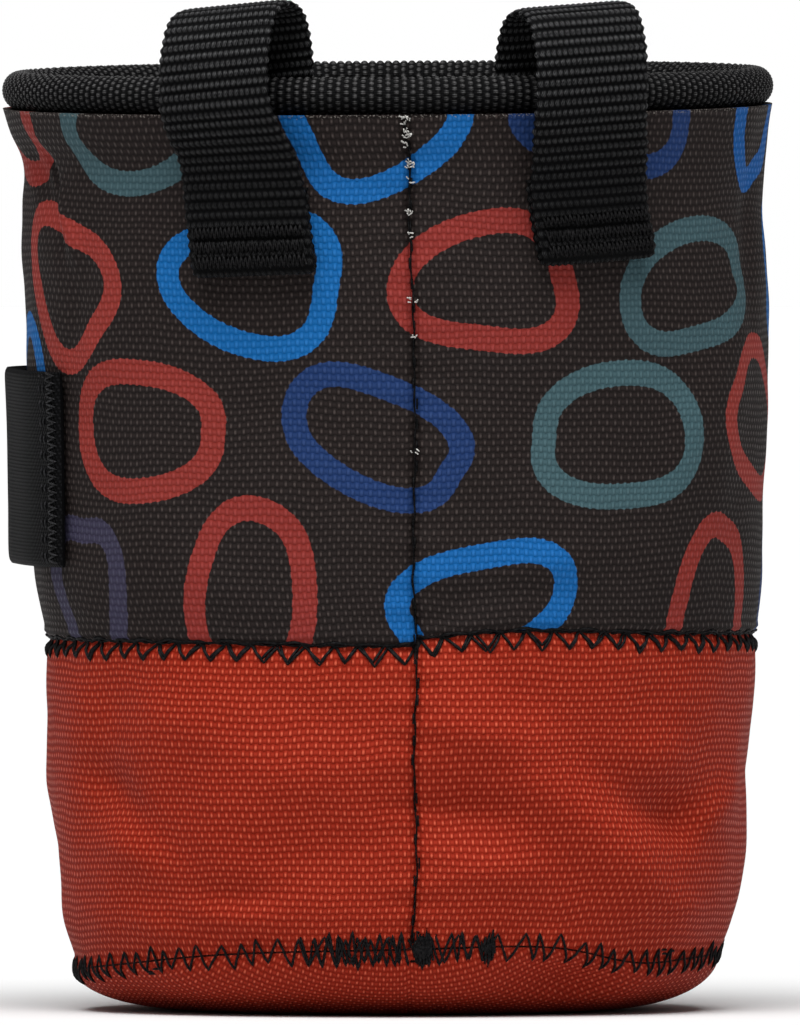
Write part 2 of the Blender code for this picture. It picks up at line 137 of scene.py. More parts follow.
# A cubic through the known rows, with the slope at each row taken from its two neighbours
def smooth(at, known, values):
    values = np.asarray(values, dtype=float)
    slopes = np.gradient(values, known, axis=0)
    place = np.clip(np.searchsorted(known, at, side="right") - 1, 0, len(known) - 2)
    more = (...,) + (None,) * (values.ndim - 1)
    step = (known[place + 1] - known[place])[more]
    t = np.clip((at - known[place])[more] / step, 0, 1)
    rise, fall = slopes[place] * step, slopes[place + 1] * step
    low, high = values[place], values[place + 1]
    return ((2 * t**3 - 3 * t**2 + 1) * low + (t**3 - 2 * t**2 + t) * rise
            + (3 * t**2 - 2 * t**3) * high + (t**3 - t**2) * fall)


# The way round from a middle angle, between minus and plus half a turn
def turned(angle, middle):
    return (angle - middle + math.pi) % (2 * math.pi) - math.pi


# Height of the cloth's upper edge: where the wall's inner corner meets the rim's oval section
def clothTop():
    across = 1 - 2 * bag["wall"] / bag["rimThick"]
    return bag["rimCentre"] - bag["rimTall"] / 2 * math.sqrt(1 - across**2) - bag["gap"]


# Superellipse: x = a sin^(2/n), y = -b cos^(2/n); its gradient is the outward direction
def outline(angle, halfWidth, halfDepth):
    s, c = np.sin(angle), np.cos(angle)
    power = 2 / bag["roundness"]
    x = halfWidth * np.sign(s) * np.abs(s) ** power
    y = -halfDepth * np.sign(c) * np.abs(c) ** power
    outX = np.sign(s) * np.abs(s) ** (2 - power) / halfWidth
    outY = -np.sign(c) * np.abs(c) ** (2 - power) / halfDepth
    length = np.hypot(outX, outY)
    return x, y, outX / length, outY / length


# Distance along the cloth for an angle, at its mean radius
def alongCloth(angle):
    return angle * bag["halfWidth"] * bag["meanRadius"]


# A long gaussian stroke, turned by its lean: exp(-(along/length)^2 - (across/breadth)^2)
def stroke(side, up, lean, length, breadth, curve=0.0):
    turn = math.radians(lean)
    along = side * math.cos(turn) + up * math.sin(turn)
    across = up * math.cos(turn) - side * math.sin(turn) + curve * along**2
    return np.exp(-(along / length) ** 2 - (across / breadth) ** 2)


# The folds' lift: each one's rise times its stroke, all fading to none at the cloth's two edges
def foldLift(angle, height):
    top, low = clothTop(), bag["baseSeam"]
    share = np.clip((height - low) / (top - low), 0, 1)
    half = bag["halfWidth"]
    total = np.zeros(np.broadcast(angle, height).shape)
    for middle, level, lean, length, breadth, rise in mainFolds:
        side = turned(angle, math.radians(middle))
        up = (share - level) * (top - low) / half
        total = total + folds["main"] * half * rise * stroke(side, up, lean, length, breadth)
    for middle, level, lean, length, breadth, rise, curve in smallFolds:
        side, up = alongCloth(turned(angle, math.radians(middle))), height - level
        total = total + folds["small"] * rise * stroke(side, up, lean, length, breadth, curve)
    edge = np.clip(share / 0.06, 0, 1) * np.clip((1 - share) / 0.06, 0, 1)
    return total * edge


# Soft unevenness of handled cloth: sines of the angle and height, some millimetres apart
def ripple(angle, height):
    return (0.16 * np.sin(7 * angle + 0.09 * height) * np.sin(0.21 * height + 2 * angle)
            + 0.10 * np.sin(15 * angle - 0.17 * height + 1.3)
            + 0.07 * np.sin(23 * angle + 0.31 * height) * np.sin(0.43 * height - 5 * angle))


# Height of the middle seam, which steps where the back seam crosses it
def middleSeam(angle):
    way = np.degrees(angle - math.radians(bag["backSeam"])) % 360
    return bag["middleSeam"] + smooth(way, middleLine[:, 0], middleLine[:, 1])


# The seams pull the cloth in: gaussian valleys along the back seam and the middle seam
def seamPull(angle, height):
    way = alongCloth(turned(angle, math.radians(bag["backSeam"])))
    valley = -1.25 * np.exp(-(way / 0.62) ** 2) - 0.45 * np.exp(-(way / 3.6) ** 2)
    pucker = 0.16 * np.sin(1.3 * height + 0.8 * np.sin(0.4 * height)) * np.exp(-(way / 4.5) ** 2)
    off = height - middleSeam(angle)
    over = 0.30 * np.exp(-((off - 0.9) / 0.8) ** 2)
    dip = -0.85 * np.exp(-((off + 0.4) / 0.7) ** 2) - 0.40 * np.exp(-(off / 3.2) ** 2)
    return valley + pucker + over + dip


# Height of the base seam: its mean height, raised by the share that seamLine gives
def baseSeam(angle):
    degrees = np.degrees(turned(angle, 0.0))
    return bag["baseSeam"] * (1 + smooth(degrees, seamLine[:, 0], seamLine[:, 1]))


# The rim's plane leans: its rises to the right and to the far side, shared out along x and y
def rimTilt(x, y):
    return bag["rimRise"] / 2 * x / bag["halfWidth"] + bag["rimPitch"] / 2 * y / bag["halfDepth"]


# The cloth's outside: the oval of its height's section, pushed out by the folds' lift and by fine
# times the ripple and the seams' pull
def skin(angle, height, fine=1.0):
    angle, height = np.broadcast_arrays(angle, height)
    share = np.clip((height - bag["baseSeam"]) / (clothTop() - bag["baseSeam"]), 0, 1)
    width, depth, shift = (smooth(share, sections[:, 0], sections[:, k]) for k in (1, 2, 3))
    x, y, outX, outY = outline(angle, width * bag["halfWidth"], depth * bag["halfDepth"])
    lift = foldLift(angle, height) + fine * (ripple(angle, height) + seamPull(angle, height))
    x = x + outX * lift + shift * bag["halfWidth"]
    y = y + outY * lift
    z = height + rimTilt(x, y) * share**2
    return np.stack([x, y, z], axis=-1), np.stack([outX, outY, np.zeros_like(outX)], axis=-1)


# Points off the cloth: its skin plus lift times its outward direction
def offCloth(angle, height, lift, fine=1.0):
    points, out = skin(angle, height, fine)
    return points + out * np.asarray(lift)[..., None]


# Length of a path up to each of its points
def runAlong(path):
    return np.concatenate([[0], np.cumsum(np.linalg.norm(np.diff(path, axis=0), axis=1))])


# Angles evenly spaced along the cloth, once round from the back seam, and the length of that way
def evenAngles(count, height=95.0):
    fine = math.radians(bag["backSeam"]) + np.linspace(0, 2 * math.pi, 2881)
    points, _ = skin(fine, np.full(fine.shape, height), 0.0)
    run = runAlong(points)
    return np.interp(np.linspace(0, run[-1], count + 1), run, fine), run[-1]


# Quads of a grid, facing out where rows go down and columns go round
def gridFaces(rows, columns, joinRows=False, joinColumns=False):
    i = np.arange(rows if joinRows else rows - 1)[:, None]
    j = np.arange(columns if joinColumns else columns - 1)[None, :]
    i2, j2 = (i + 1) % rows, (j + 1) % columns
    corners = [i * columns + j, i2 * columns + j, i2 * columns + j2, i * columns + j2]
    return np.stack(corners, axis=-1).reshape(-1, 4)


# A grid's faces laid flat: column and row numbers of their corners, times the steps' lengths
def gridMap(faces, columns, wide, tall):
    row, column = faces[:, 0] // columns, faces[:, 0] % columns
    flatU = np.stack([column, column, column + 1, column + 1], axis=-1) * wide
    flatV = np.stack([row, row + 1, row + 1, row], axis=-1) * tall
    return np.stack([flatU, flatV], axis=-1)


# A mesh from points in millimetres; flat maps and dyes are given at the corners of its faces
def makePiece(name, points, faces, caps=(), flat=None, dye=None, sharp=None):
    mesh = bpy.data.meshes.new(name)
    allFaces = [tuple(face) for face in faces.tolist()] + [tuple(cap) for cap in caps]
    mesh.from_pydata((points.reshape(-1, 3) * mm).tolist(), [], allFaces)
    mesh.shade_smooth()
    if sharp:
        mesh.set_sharp_from_angle(angle=math.radians(sharp))
    if flat is not None:
        spare = np.zeros((len(mesh.loops) - flat.reshape(-1, 2).shape[0], 2))
        layer = mesh.uv_layers.new(name="cloth")
        layer.data.foreach_set("uv", np.concatenate([flat.reshape(-1, 2), spare]).ravel())
    if dye is not None:
        layer = mesh.color_attributes.new(name="ink", type="FLOAT_COLOR", domain="CORNER")
        layer.data.foreach_set("color", dye.ravel())
    piece = bpy.data.objects.new(name, mesh)
    bpy.context.scene.collection.objects.link(piece)
    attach(piece, "root")
    return piece


# Materials and slot, and the solid that the piece takes the place of
def finish(piece, materials, node=None):
    for material in materials:
        piece.data.materials.append(material)
    if node:
        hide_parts(node)


# Threads: points of each path plus radius times (cos, sin) in the plane square to its direction
def sew(name, paths, radius, material, sides=6):
    allPoints, allFaces, caps, start = [], [], [], 0
    turns = np.linspace(0, 2 * math.pi, sides, endpoint=False)
    for path in paths:
        path = np.asarray(path, dtype=float)
        way = np.gradient(path, axis=0)
        way /= np.linalg.norm(way, axis=1)[:, None] + 1e-12
        side = np.cross(way, np.array([0.13, -0.21, 0.97]))
        side /= np.linalg.norm(side, axis=1)[:, None] + 1e-12
        up = np.cross(side, way)
        ring = (np.cos(turns)[None, :, None] * side[:, None, :]
                + np.sin(turns)[None, :, None] * up[:, None, :])
        points = path[:, None, :] + radius * ring
        faces = gridFaces(len(path), sides, joinColumns=True) + start
        first = (np.arange(sides)[::-1] + start).tolist()
        last = (np.arange(sides) + start + (len(path) - 1) * sides).tolist()
        allPoints.append(points.reshape(-1, 3))
        allFaces.append(faces)
        caps += [first, last]
        start += len(path) * sides
    piece = makePiece(name, np.concatenate(allPoints), np.concatenate(allFaces), caps)
    finish(piece, [material])


# Shader maths: a wrapped socket, so that an expression on it adds its Math nodes
class Signal:
    def __init__(self, recipe, socket):
        self.recipe, self.socket = recipe, socket

    def maths(self, operation, *values):
        inputs = dict(enumerate(values))
        return self.recipe.node("ShaderNodeMath", {"operation": operation}, inputs)

    def __add__(self, other):
        return self.maths("ADD", self, other)

    __radd__ = __add__

    def __mul__(self, other):
        return self.maths("MULTIPLY", self, other)

    __rmul__ = __mul__

    def __sub__(self, other):
        return self.maths("SUBTRACT", self, other)

    def __rsub__(self, other):
        return self.maths("SUBTRACT", other, self)

    def __pow__(self, other):
        return self.maths("POWER", self, other)

    def __rpow__(self, other):
        return self.maths("POWER", other, self)

    # Another output of the same node
    def beside(self, output):
        return Signal(self.recipe, self.socket.node.outputs[output])


# A node tree to build in
class Recipe:
    def __init__(self, owner):
        owner.use_nodes = True
        self.tree = owner.node_tree

    # Settings go first, then the values or links of the sockets
    def node(self, kind, settings=None, inputs=None, output=0):
        made = self.tree.nodes.new(kind)
        for key, value in (settings or {}).items():
            setattr(made, key, value)
        for key, value in (inputs or {}).items():
            if isinstance(value, Signal):
                self.tree.links.new(value.socket, made.inputs[key])
            else:
                made.inputs[key].default_value = value
        return Signal(self, made.outputs[output])

    def sine(self, value):
        return self.node("ShaderNodeMath", {"operation": "SINE"}, {0: value})

    def size(self, value):
        return self.node("ShaderNodeMath", {"operation": "ABSOLUTE"}, {0: value})

    # 0 up to low, 1 from high on, and a smooth step between them
    def between(self, value, low, high):
        return self.node("ShaderNodeMapRange", {"interpolation_type": "SMOOTHSTEP"},
                         {"Value": value, "From Min": low, "From Max": high})

    # Millimetres across and along a piece's own flat map
    def across(self):
        flat = self.node("ShaderNodeUVMap", {"uv_map": "cloth"})
        u = self.node("ShaderNodeSeparateXYZ", None, {0: flat})
        return u, u.beside(1)

    def place(self, x, y, z=0.0):
        return self.node("ShaderNodeCombineXYZ", None, {0: x, 1: y, 2: z})

    def noise(self, where, scale, detail=2.0, roughness=0.5):
        return self.node("ShaderNodeTexNoise", None, {
            "Vector": where, "Scale": scale, "Detail": detail, "Roughness": roughness})

    def objectPlace(self):
        return self.node("ShaderNodeTexCoord", None, None, "Object")

    def dye(self):
        return self.node("ShaderNodeAttribute", {"attribute_name": "ink"})

    # Sockets 0, 6 and 7 are a colour mix's factor and its two colours, and output 2 its result
    def mix(self, share, first, second, blend="MIX"):
        return self.node("ShaderNodeMix", {"data_type": "RGBA", "blend_type": blend},
                         {0: share, 6: first, 7: second}, 2)


# A material: its constants are set on the shader's own sockets
class Finish(Recipe):
    def __init__(self, name, **constants):
        self.material = bpy.data.materials.new(name)
        super().__init__(self.material)
        self.shader = self.tree.nodes["Principled BSDF"]
        for socket, value in constants.items():
            self.shader.inputs[socket.replace("_", " ")].default_value = value

    def give(self, socket, value):
        self.tree.links.new(value.socket, self.shader.inputs[socket])

    def bump(self, height, distance, strength):
        self.give("Normal", self.node("ShaderNodeBump", None, {
            "Height": height, "Distance": distance, "Strength": strength}))


keyShare = 0.87          # of each colour's light that is kept, as the light from above is strong


# A colour seen on a screen, as the shader's linear one: ((v + 0.055) / 1.055)^2.4, straight near 0
def ink(*screen):
    shares = [value / 255 for value in screen]
    linear = [v / 12.92 if v <= 0.04045 else ((v + 0.055) / 1.055) ** 2.4 for v in shares]
    return (*(keyShare * v for v in linear), 1.0)


cloth = {
    "warp": 0.70, "weft": 1.07,          # millimetres from yarn to yarn
    # The darkest colour of each cloth is painted shade for the weave's gaps, and the pale red and
    # pale canvas colours are painted highlights on the floats' crowns
    "redShade": ink(126, 28, 14), "redPlain": ink(158, 48, 32), "redHighlight": ink(222, 108, 80),
    "canvasShade": ink(27, 22, 21), "canvasPlain": ink(43, 36, 35), "canvasHighlight": ink(94, 85, 81),
    "liningPitch": 0.5, "liningShade": ink(18, 17, 17), "lining": ink(34, 32, 32),
    "whiteThread": ink(138, 132, 126),   # of the canvas, where its print is rubbed off
}


# Plain weave: s = sin(pi u) sin(pi v) is above 0 on the warp's floats and below on the weft's,
# and each float grows into its neighbours, so that the gaps between the rows stagger. Gives how
# full a yarn is, 0 in the gaps, which yarn lies over, and the crown of each warp float
def plainWeave(recipe, u, v, warp, weft):
    where = recipe.place(u, v)
    sway = (recipe.noise(where, 0.045, 2.0) - 0.5) * 2.6
    wobble = recipe.noise(where, 0.4, 2.0) - 0.5
    angleU = u * (math.pi / warp) + wobble * 0.9
    angleV = (v + sway) * (math.pi / weft) + wobble * 0.5
    across = recipe.sine(angleU)
    along = recipe.sine(angleV + across * recipe.sine(angleV + math.pi / 2) * 0.28)
    across = recipe.sine(angleU - along * recipe.sine(angleU + math.pi / 2) * 0.14)
    s = across * along
    cell = recipe.size(across) ** 0.3 * recipe.size(along) ** 0.9
    crown = recipe.between(s * recipe.size(along) + wobble * 0.5, 0.44, 0.90)
    return cell, recipe.between(s, -0.40, 0.55), crown


# Brightness of the weave: painted shade in the gaps between yarns and on the lower yarns, plus random
# tone from slubs along the weft, broad unevenness and grain
def weaveShadeAndTone(r, u, v):
    cell, over, crown = plainWeave(r, u, v, cloth["warp"], cloth["weft"])
    slub = r.noise(r.place(u * 0.10, v * 1.1), 1.0, 2.0) - 0.5
    broad = r.noise(r.place(u, v), 0.05, 3.0) - 0.5
    grain = r.noise(r.place(u, v), 1.7, 2.0) - 0.5
    return cell, over, crown, cell * (over * 0.25 + 0.65) + slub * 0.22 + broad * 0.20 + grain * 0.28


# Red cloth: shaded to plain red by the weave's level, which is painted shade plus random tone, and a
# painted highlight of pale red on the floats' crowns
def redRecipe(name):
    r = Finish(name, Roughness=0.6, Specular_IOR_Level=0.09, Specular_Tint=(1.0, 0.50, 0.36, 1))
    u, v = r.across()
    cell, over, crown, level = weaveShadeAndTone(r, u, v)
    # painted shade darkens the gaps and lower yarns, and a painted highlight lightens the crowns
    ground = r.mix(r.between(level, 0.05, 0.80), cloth["redShade"], cloth["redPlain"])
    r.give("Base Color", r.mix(crown * (level * 0.7 - 0.05), ground, cloth["redHighlight"]))
    r.give("Roughness", 0.70 - crown * 0.34)
    r.bump(cell * (over * 0.6 + 0.4), 0.00019, 0.9)
    return r.material


# Printed canvas: charcoal weave, and the print's colour where its edge channel passes one half, which
# the weave makes ragged; canvas and print carry painted shade in the weave's gaps and painted
# highlights on the floats' crowns, and close to the rim the print is rubbed off in places
def printedRecipe(name):
    r = Finish(name, Roughness=0.6, Specular_IOR_Level=0.07)
    u, v = r.across()
    cell, over, crown, level = weaveShadeAndTone(r, u, v)
    # painted shade in the gaps and a painted highlight on the crowns of the plain canvas
    ground = r.mix(r.between(level, 0.05, 0.80), cloth["canvasShade"], cloth["canvasPlain"])
    plain = r.mix(crown * (level * 0.7 - 0.20), ground, cloth["canvasHighlight"])
    colour = r.dye()
    edge = colour.beside("Alpha")
    ragged = (over - 0.5) * 0.03 + (r.noise(r.place(u, v), 1.4, 2.0) - 0.5) * 0.06
    inked = r.between(edge + ragged, 0.48, 0.52)
    # the print darker in the weave's gaps as painted shade and paler on the crowns as painted
    # highlight
    dark = r.mix(1.0, colour, (0.60, 0.60, 0.62, 1.0), "MULTIPLY")
    light = r.mix(0.035, colour, (0.50, 0.56, 0.62, 1.0))
    printShadeAndHighlight = r.mix(r.between(level + crown * 0.3, -0.3, 1.35), dark, light)
    whole = r.mix(inked, plain, printShadeAndHighlight)
    fray = r.noise(r.place(u, v), 3.1, 2.0)
    nearTop = r.between(v, clothTop() - 1.1, clothTop() - 0.2)
    paling = r.between(fray + nearTop * 0.20 - 0.22, 0.52, 0.62) * nearTop
    r.give("Base Color", r.mix(paling * 0.7, whole, cloth["whiteThread"]))
    r.give("Roughness", 0.72 - crown * 0.30)
    r.bump(cell * (over * 0.6 + 0.4), 0.00014, 0.9)
    return r.material


# Lining: a finer, darker plain weave, with painted shade in its gaps and on its lower yarns
def liningRecipe(name):
    r = Finish(name, Roughness=0.85, Specular_IOR_Level=0.1)
    u, v = r.across()
    cell, over, _ = plainWeave(r, u, v, cloth["liningPitch"], cloth["liningPitch"])
    r.give("Base Color", r.mix(cell * 0.6 + over * 0.3, cloth["liningShade"], cloth["lining"]))
    r.bump(cell + over * 0.4, 0.00010, 0.7)
    return r.material


# Black yarn: painted shade keeps the grooves black, and a painted grey glint lies on the tops that
# the relief marks; the glint grows between the two given heights, painted light on the upper parts of
# the loops and the rim
def yarnRecipe(name, pitchAcross, pitchAlong, twist, light, paling):
    r = Finish(name, Roughness=0.45, Specular_IOR_Level=0.07)
    u, v = r.across()
    strands = r.sine((u + v * twist) * (2 * math.pi / pitchAcross))
    picks = r.sine(v * (2 * math.pi / pitchAlong))
    glintNoise = r.noise(r.place(u, v), 2.2, 3.0)
    top = r.node("ShaderNodeSeparateColor", None, {0: r.dye()})
    height = r.node("ShaderNodeSeparateXYZ", None, {0: r.objectPlace()}, 2)
    # painted light: the tops' glint is about a quarter as bright below the lower height and full
    # above the higher one
    litAbove = r.between(height, paling[0] * mm, paling[1] * mm) * 0.74 + 0.26
    glint = r.between(strands * 0.30 + picks * 0.10 + glintNoise, 0.15, 1.05)
    raised = r.between(top, 0.45, 1.0)
    r.give("Base Color", r.mix(raised * glint * litAbove, ink(2, 2, 3), light))
    r.give("Roughness", 0.70 - raised * 0.32)
    r.bump(strands * 0.5 + picks * 0.25, 0.00006, 0.9)
    return r.material


# Thread: a grain of fibres between its dark and its light
def threadRecipe(name, dark, light):
    r = Finish(name, Roughness=0.6, Specular_IOR_Level=0.10)
    grain = r.noise(r.objectPlace(), 2600.0, 2.0)
    r.give("Base Color", r.mix(r.between(grain, 0.4, 0.65), dark, light))
    r.bump(grain, 0.00004, 0.6)
    return r.material


# The relief of a webbing or tape, 0 in its grooves and 1 on its tops, as a grey at each corner; it
# places the yarn's painted glint and painted groove shade
def reliefInk(relief, faces):
    level = relief.ravel()[faces].ravel()
    return np.stack([level, level, level, np.ones_like(level)], axis=-1)


redMaterial = redRecipe("red_weave")
baseMaterial = redRecipe("base_weave")
printedMaterial = printedRecipe("printed_weave")
liningMaterial = liningRecipe("inner_weave")
# light is the grey of the painted glint on the tops; the two heights are where painted light makes
# that glint grow upwards
webbingMaterial = yarnRecipe("webbing_yarn", pitchAcross=0.24, pitchAlong=0.95, twist=0.35,
                             light=ink(92, 92, 93), paling=(126.0, 150.0))
tapeMaterial = yarnRecipe("tape_yarn", pitchAcross=0.26, pitchAlong=1.25, twist=0.0,
                          light=ink(106, 105, 105), paling=(140.0, 145.0))
blackThread = threadRecipe("black_thread", ink(3, 3, 4), ink(24, 23, 24))
greyThread = threadRecipe("grey_thread", ink(20, 20, 21), ink(50, 50, 52))
# the red cloth's edge in the base joint, made near black as painted shade
shadedEdgeThread = threadRecipe("shaded_edge_thread", ink(30, 6, 4), ink(90, 22, 14))
whiteFibre = threadRecipe("white_fibre", ink(170, 168, 164), ink(225, 223, 218))
print("materials made")

# Print of the canvas: outlines of pebbles, scattered in loose rows
inks = [ink(0, 102, 176), ink(150, 48, 38), ink(22, 54, 108), ink(0, 92, 168), ink(68, 98, 104),
        ink(156, 52, 42), ink(0, 106, 180), ink(60, 55, 78), ink(148, 46, 37), ink(64, 92, 98)]
motifs = {"rows": 4, "perRow": 9, "firstRow": 65.0, "rowStep": 24.5, "stroke": 4.0, "seed": 21,
          "spins": 12, "shiftUp": 2.0, "shiftAlong": 3.0, "margin": 2, "reach": 24.0, "far": 99.0}


# The short way round, for a distance along the cloth
def turnedBy(distance, around):
    return (distance + around / 2) % around - around / 2


# A pebble's radius: (|x/a|^2.5 + |y/b|^2.5)^(1/2.5), tapered along x, with three soft corners
def pebble(x, y, shape):
    a, b, taper, corner, start = shape
    qx = x / a
    qy = y / (b * (1 + taper * np.clip(qx, -1.5, 1.5)))
    bend = 1 + corner * np.cos(3 * np.arctan2(qy, qx) + start)
    return (np.abs(qx) ** 2.5 + np.abs(qy) ** 2.5) ** (1 / 2.5) / bend


# Pebbles with their middle, spin, shape and ink; each takes the spin and the small shift that
# leave the widest gap to those already placed
def motifList(around):
    random = np.random.default_rng(motifs["seed"])
    turns = np.linspace(0, 2 * math.pi, 28, endpoint=False)
    spins = np.arange(motifs["spins"]) * math.pi / motifs["spins"]
    shifts = [(up, along) for up in (-1, 0, 1) for along in (-1, 0, 1)]
    placed, rims = [], []
    for row in range(motifs["rows"]):
        for number in range(motifs["perRow"]):
            step = around / motifs["perRow"]
            midU = (number + 0.3 + 0.5 * (row % 2) + random.uniform(-0.08, 0.08)) * step
            midV = motifs["firstRow"] + row * motifs["rowStep"] + random.uniform(-2.5, 2.5)
            a, b = random.uniform(12.0, 14.2), random.uniform(8.0, 9.8)
            shape = (a, b, random.uniform(-0.30, 0.30), random.uniform(0.05, 0.11),
                     random.uniform(-0.8, 0.8))
            near = [rim for rim in rims if abs(turnedBy(rim[0, 0] - midU, around)) < 60]
            x = (a + motifs["margin"]) * np.cos(turns)
            y = (b + motifs["margin"]) * np.sin(turns)
            widest = -1.0
            start = random.uniform(0, math.pi)
            for (up, along), turn in itertools.product(shifts, spins):
                spin = start + turn
                u, v = midU + along * motifs["shiftAlong"], midV + up * motifs["shiftUp"]
                edge = np.stack([u + x * math.cos(spin) - y * math.sin(spin),
                                 v + x * math.sin(spin) + y * math.cos(spin)], axis=-1)
                gap = motifs["far"]
                if near:
                    apart = edge[:, None, None] - np.array(near)[None]
                    gap = np.hypot(turnedBy(apart[..., 0], around), apart[..., 1]).min()
                if gap > widest:
                    widest, bestEdge, bestPlace = gap, edge, (u, v, spin)
            placed.append((bestPlace, shape, inks[(number + row * 4) % len(inks)]))
            rims.append(bestEdge)
    return placed


# Signed distance to the nearest ring: |f - 1| over the size of f's slope, less half a stroke
def printField(u, v, around):
    nearest = np.full(u.shape, motifs["far"])
    colours = np.zeros(u.shape + (3,))
    for (midU, midV, spin), shape, tint in motifList(around):
        du = turnedBy(u - midU, around)
        dv = v - midV
        close = np.hypot(du, dv) < motifs["reach"]
        x = du[close] * math.cos(spin) + dv[close] * math.sin(spin)
        y = dv[close] * math.cos(spin) - du[close] * math.sin(spin)
        f = pebble(x, y, shape)
        slope = np.hypot(pebble(x + 0.05, y, shape) - pebble(x - 0.05, y, shape),
                         pebble(x, y + 0.05, shape) - pebble(x, y - 0.05, shape)) / 0.1
        away = np.abs(f - 1) / np.maximum(slope, 0.02) - motifs["stroke"] / 2
        nearer = away < nearest[close]
        nearest[close] = np.where(nearer, away, nearest[close])
        colours[close] = np.where(nearer[:, None], np.array(tint[:3]), colours[close])
    share = np.clip(0.5 - nearest * 0.25, 0, 1)
    return np.concatenate([colours, share[..., None]], axis=-1)


# Columns crowd beside the back seam, so that its valley is narrow: places in mm and their angles
def bandAngles(columns):
    beside = np.array([0.0, 0.22, 0.45, 0.70, 1.0, 1.4, 1.9, 2.5, 3.2])
    angles, around = evenAngles(2880)
    middle = np.linspace(4.0, around - 4.0, columns - 2 * len(beside) + 2)
    run = np.concatenate([beside, middle, (around - beside)[::-1]])
    return np.interp(run, np.linspace(0, around, 2881), angles), run


# A band of cloth: rows of skin down the outside, and up the inside less the wall's thickness. The
# lower cloth is lining from its joint row on, and the upper one keeps its print over the top edge
def clothBand(name, size, highEdge, lowEdge, printed=False):
    angles, run = bandAngles(size["columns"])
    columns, around = len(run) - 1, run[-1]
    ring = angles[:-1]
    high, low = highEdge(ring)[None, :], lowEdge(ring)[None, :]
    heightsOut = high + (low - high) * np.linspace(0, 1, size["rows"])[:, None]
    heightsIn = high + (low - high) * np.linspace(1, 0, size["insideRows"])[:, None]
    outside, _ = skin(ring[None, :], heightsOut)
    inside = offCloth(ring[None, :], heightsIn, -bag["wall"], 0.3)
    points = np.concatenate([outside, inside])
    heights = np.concatenate([heightsOut, heightsIn])
    faces = gridFaces(len(points), columns, joinRows=True, joinColumns=True)
    row, column = faces[:, 0] // columns, faces[:, 0] % columns
    nextRow, nextColumn = (row + 1) % len(points), (column + 1) % columns
    flatU = np.stack([run[column], run[column], run[column + 1], run[column + 1]], axis=-1)
    flatV = np.stack([heights[row, column], heights[nextRow, column],
                      heights[nextRow, nextColumn], heights[row, nextColumn]], axis=-1)
    dye = printField(flatU.ravel(), flatV.ravel(), around) if printed else None
    piece = makePiece(name, points, faces, flat=np.stack([flatU, flatV], axis=-1), dye=dye, sharp=62)
    isInside = (row >= size["rows"]) & (row < len(points) - (1 if printed else 0))
    piece.data.polygons.foreach_set("material_index", isInside.astype(np.int32))
    return piece


upper = {"columns": 372, "rows": 88, "insideRows": 26}
upperCloth = clothBand("upper_cloth", upper, lambda angle: clothTop() + 0 * angle,
                       lambda angle: middleSeam(angle) + bag["gap"] / 2, printed=True)
finish(upperCloth, [printedMaterial, liningMaterial], "upper_body")
print("printed cloth made")

lower = {"columns": 372, "rows": 66, "insideRows": 20}
lowerCloth = clothBand("lower_cloth", lower, lambda angle: middleSeam(angle) - bag["gap"] / 2,
                       lambda angle: baseSeam(angle) + bag["gap"] / 2)
finish(lowerCloth, [redMaterial, liningMaterial], "lower_body")


# The base's outside: in = R(1 - cos turn), z = h(1 - sin turn), a quarter of an oval arc
def baseSkin(angle, bend, inset=0.0):
    height = baseSeam(angle)
    seam, out = skin(angle, height, 0.4)
    dents = np.zeros(np.broadcast(angle, bend).shape)
    turn = bend / (math.pi / 2)
    for middle, level, length, breadth, rise in baseDents:
        side = turned(angle, math.radians(middle)) / length
        dents = dents + rise * bag["halfWidth"] * np.exp(-side**2 - ((turn - level) / breadth) ** 2)
    fade = np.clip(turn / 0.15, 0, 1) * np.clip((1 - turn) / 0.3, 0, 1)
    puff = 0.35 * np.sin(9 * angle + 1.0) * np.sin(math.pi * turn) * fade
    inward = bag["baseRound"] * (1 - np.cos(bend)) - dents * fade - puff
    points = seam - out * inward[..., None]
    points[..., 2] = (height - bag["gap"] / 2) * (1 - np.sin(bend))
    facing = out * np.cos(bend)[..., None]
    facing[..., 2] = -np.sin(bend)
    return points - facing * inset, facing


base = {"columns": 300, "rows": 26, "patchRings": 8}


# The base: baseSkin's arc outside and inside, closed by shrunken copies of its last ring
def basePiece():
    columns, rows = base["columns"], base["rows"]
    angles = evenAngles(columns)[0][:-1][None, :]
    bends = np.linspace(0, math.pi / 2, rows)[:, None]
    angles, bends = np.broadcast_arrays(angles, bends)
    outside, _ = baseSkin(angles, bends)
    inside, _ = baseSkin(angles, bends, bag["wall"])
    shrink = np.linspace(0.85, 0.05, base["patchRings"])[:, None, None]
    middleOut = outside[-1].mean(axis=0)
    middleIn = inside[-1].mean(axis=0)
    patchOut = middleOut + (outside[-1] - middleOut) * shrink
    patchIn = middleIn + (inside[-1] - middleIn) * shrink
    points = np.concatenate([patchIn[::-1], inside[::-1], outside, patchOut])
    faces = gridFaces(len(points), columns, joinColumns=True)
    last = (len(points) - 1) * columns
    caps = [list(range(columns)), list(range(last, last + columns))[::-1]]
    # laid flat: the patch as it lies, and round it the rim unrolled by its arc length
    arc = np.linalg.norm(np.diff(outside[::-1], axis=0), axis=2).cumsum(axis=0)[::-1]
    arc = np.concatenate([arc, np.zeros((1, columns))])
    way = outside[-1] - middleOut
    way = way / np.linalg.norm(way, axis=-1)[:, None]
    spread = outside[-1] + way * arc[..., None]
    laid = np.concatenate([patchIn[::-1], spread[::-1], spread, patchOut])
    flat = laid.reshape(-1, 3)[faces][:, :, :2]
    return makePiece("base_cloth", points, faces, caps, flat=flat, sharp=58)


finish(basePiece(), [baseMaterial], "base_panel")
print("red cloth and base made")

rim = {"ribs": 276, "perRib": 4, "around": 85, "rows": 17, "relief": 0.42, "girth": 17.3}


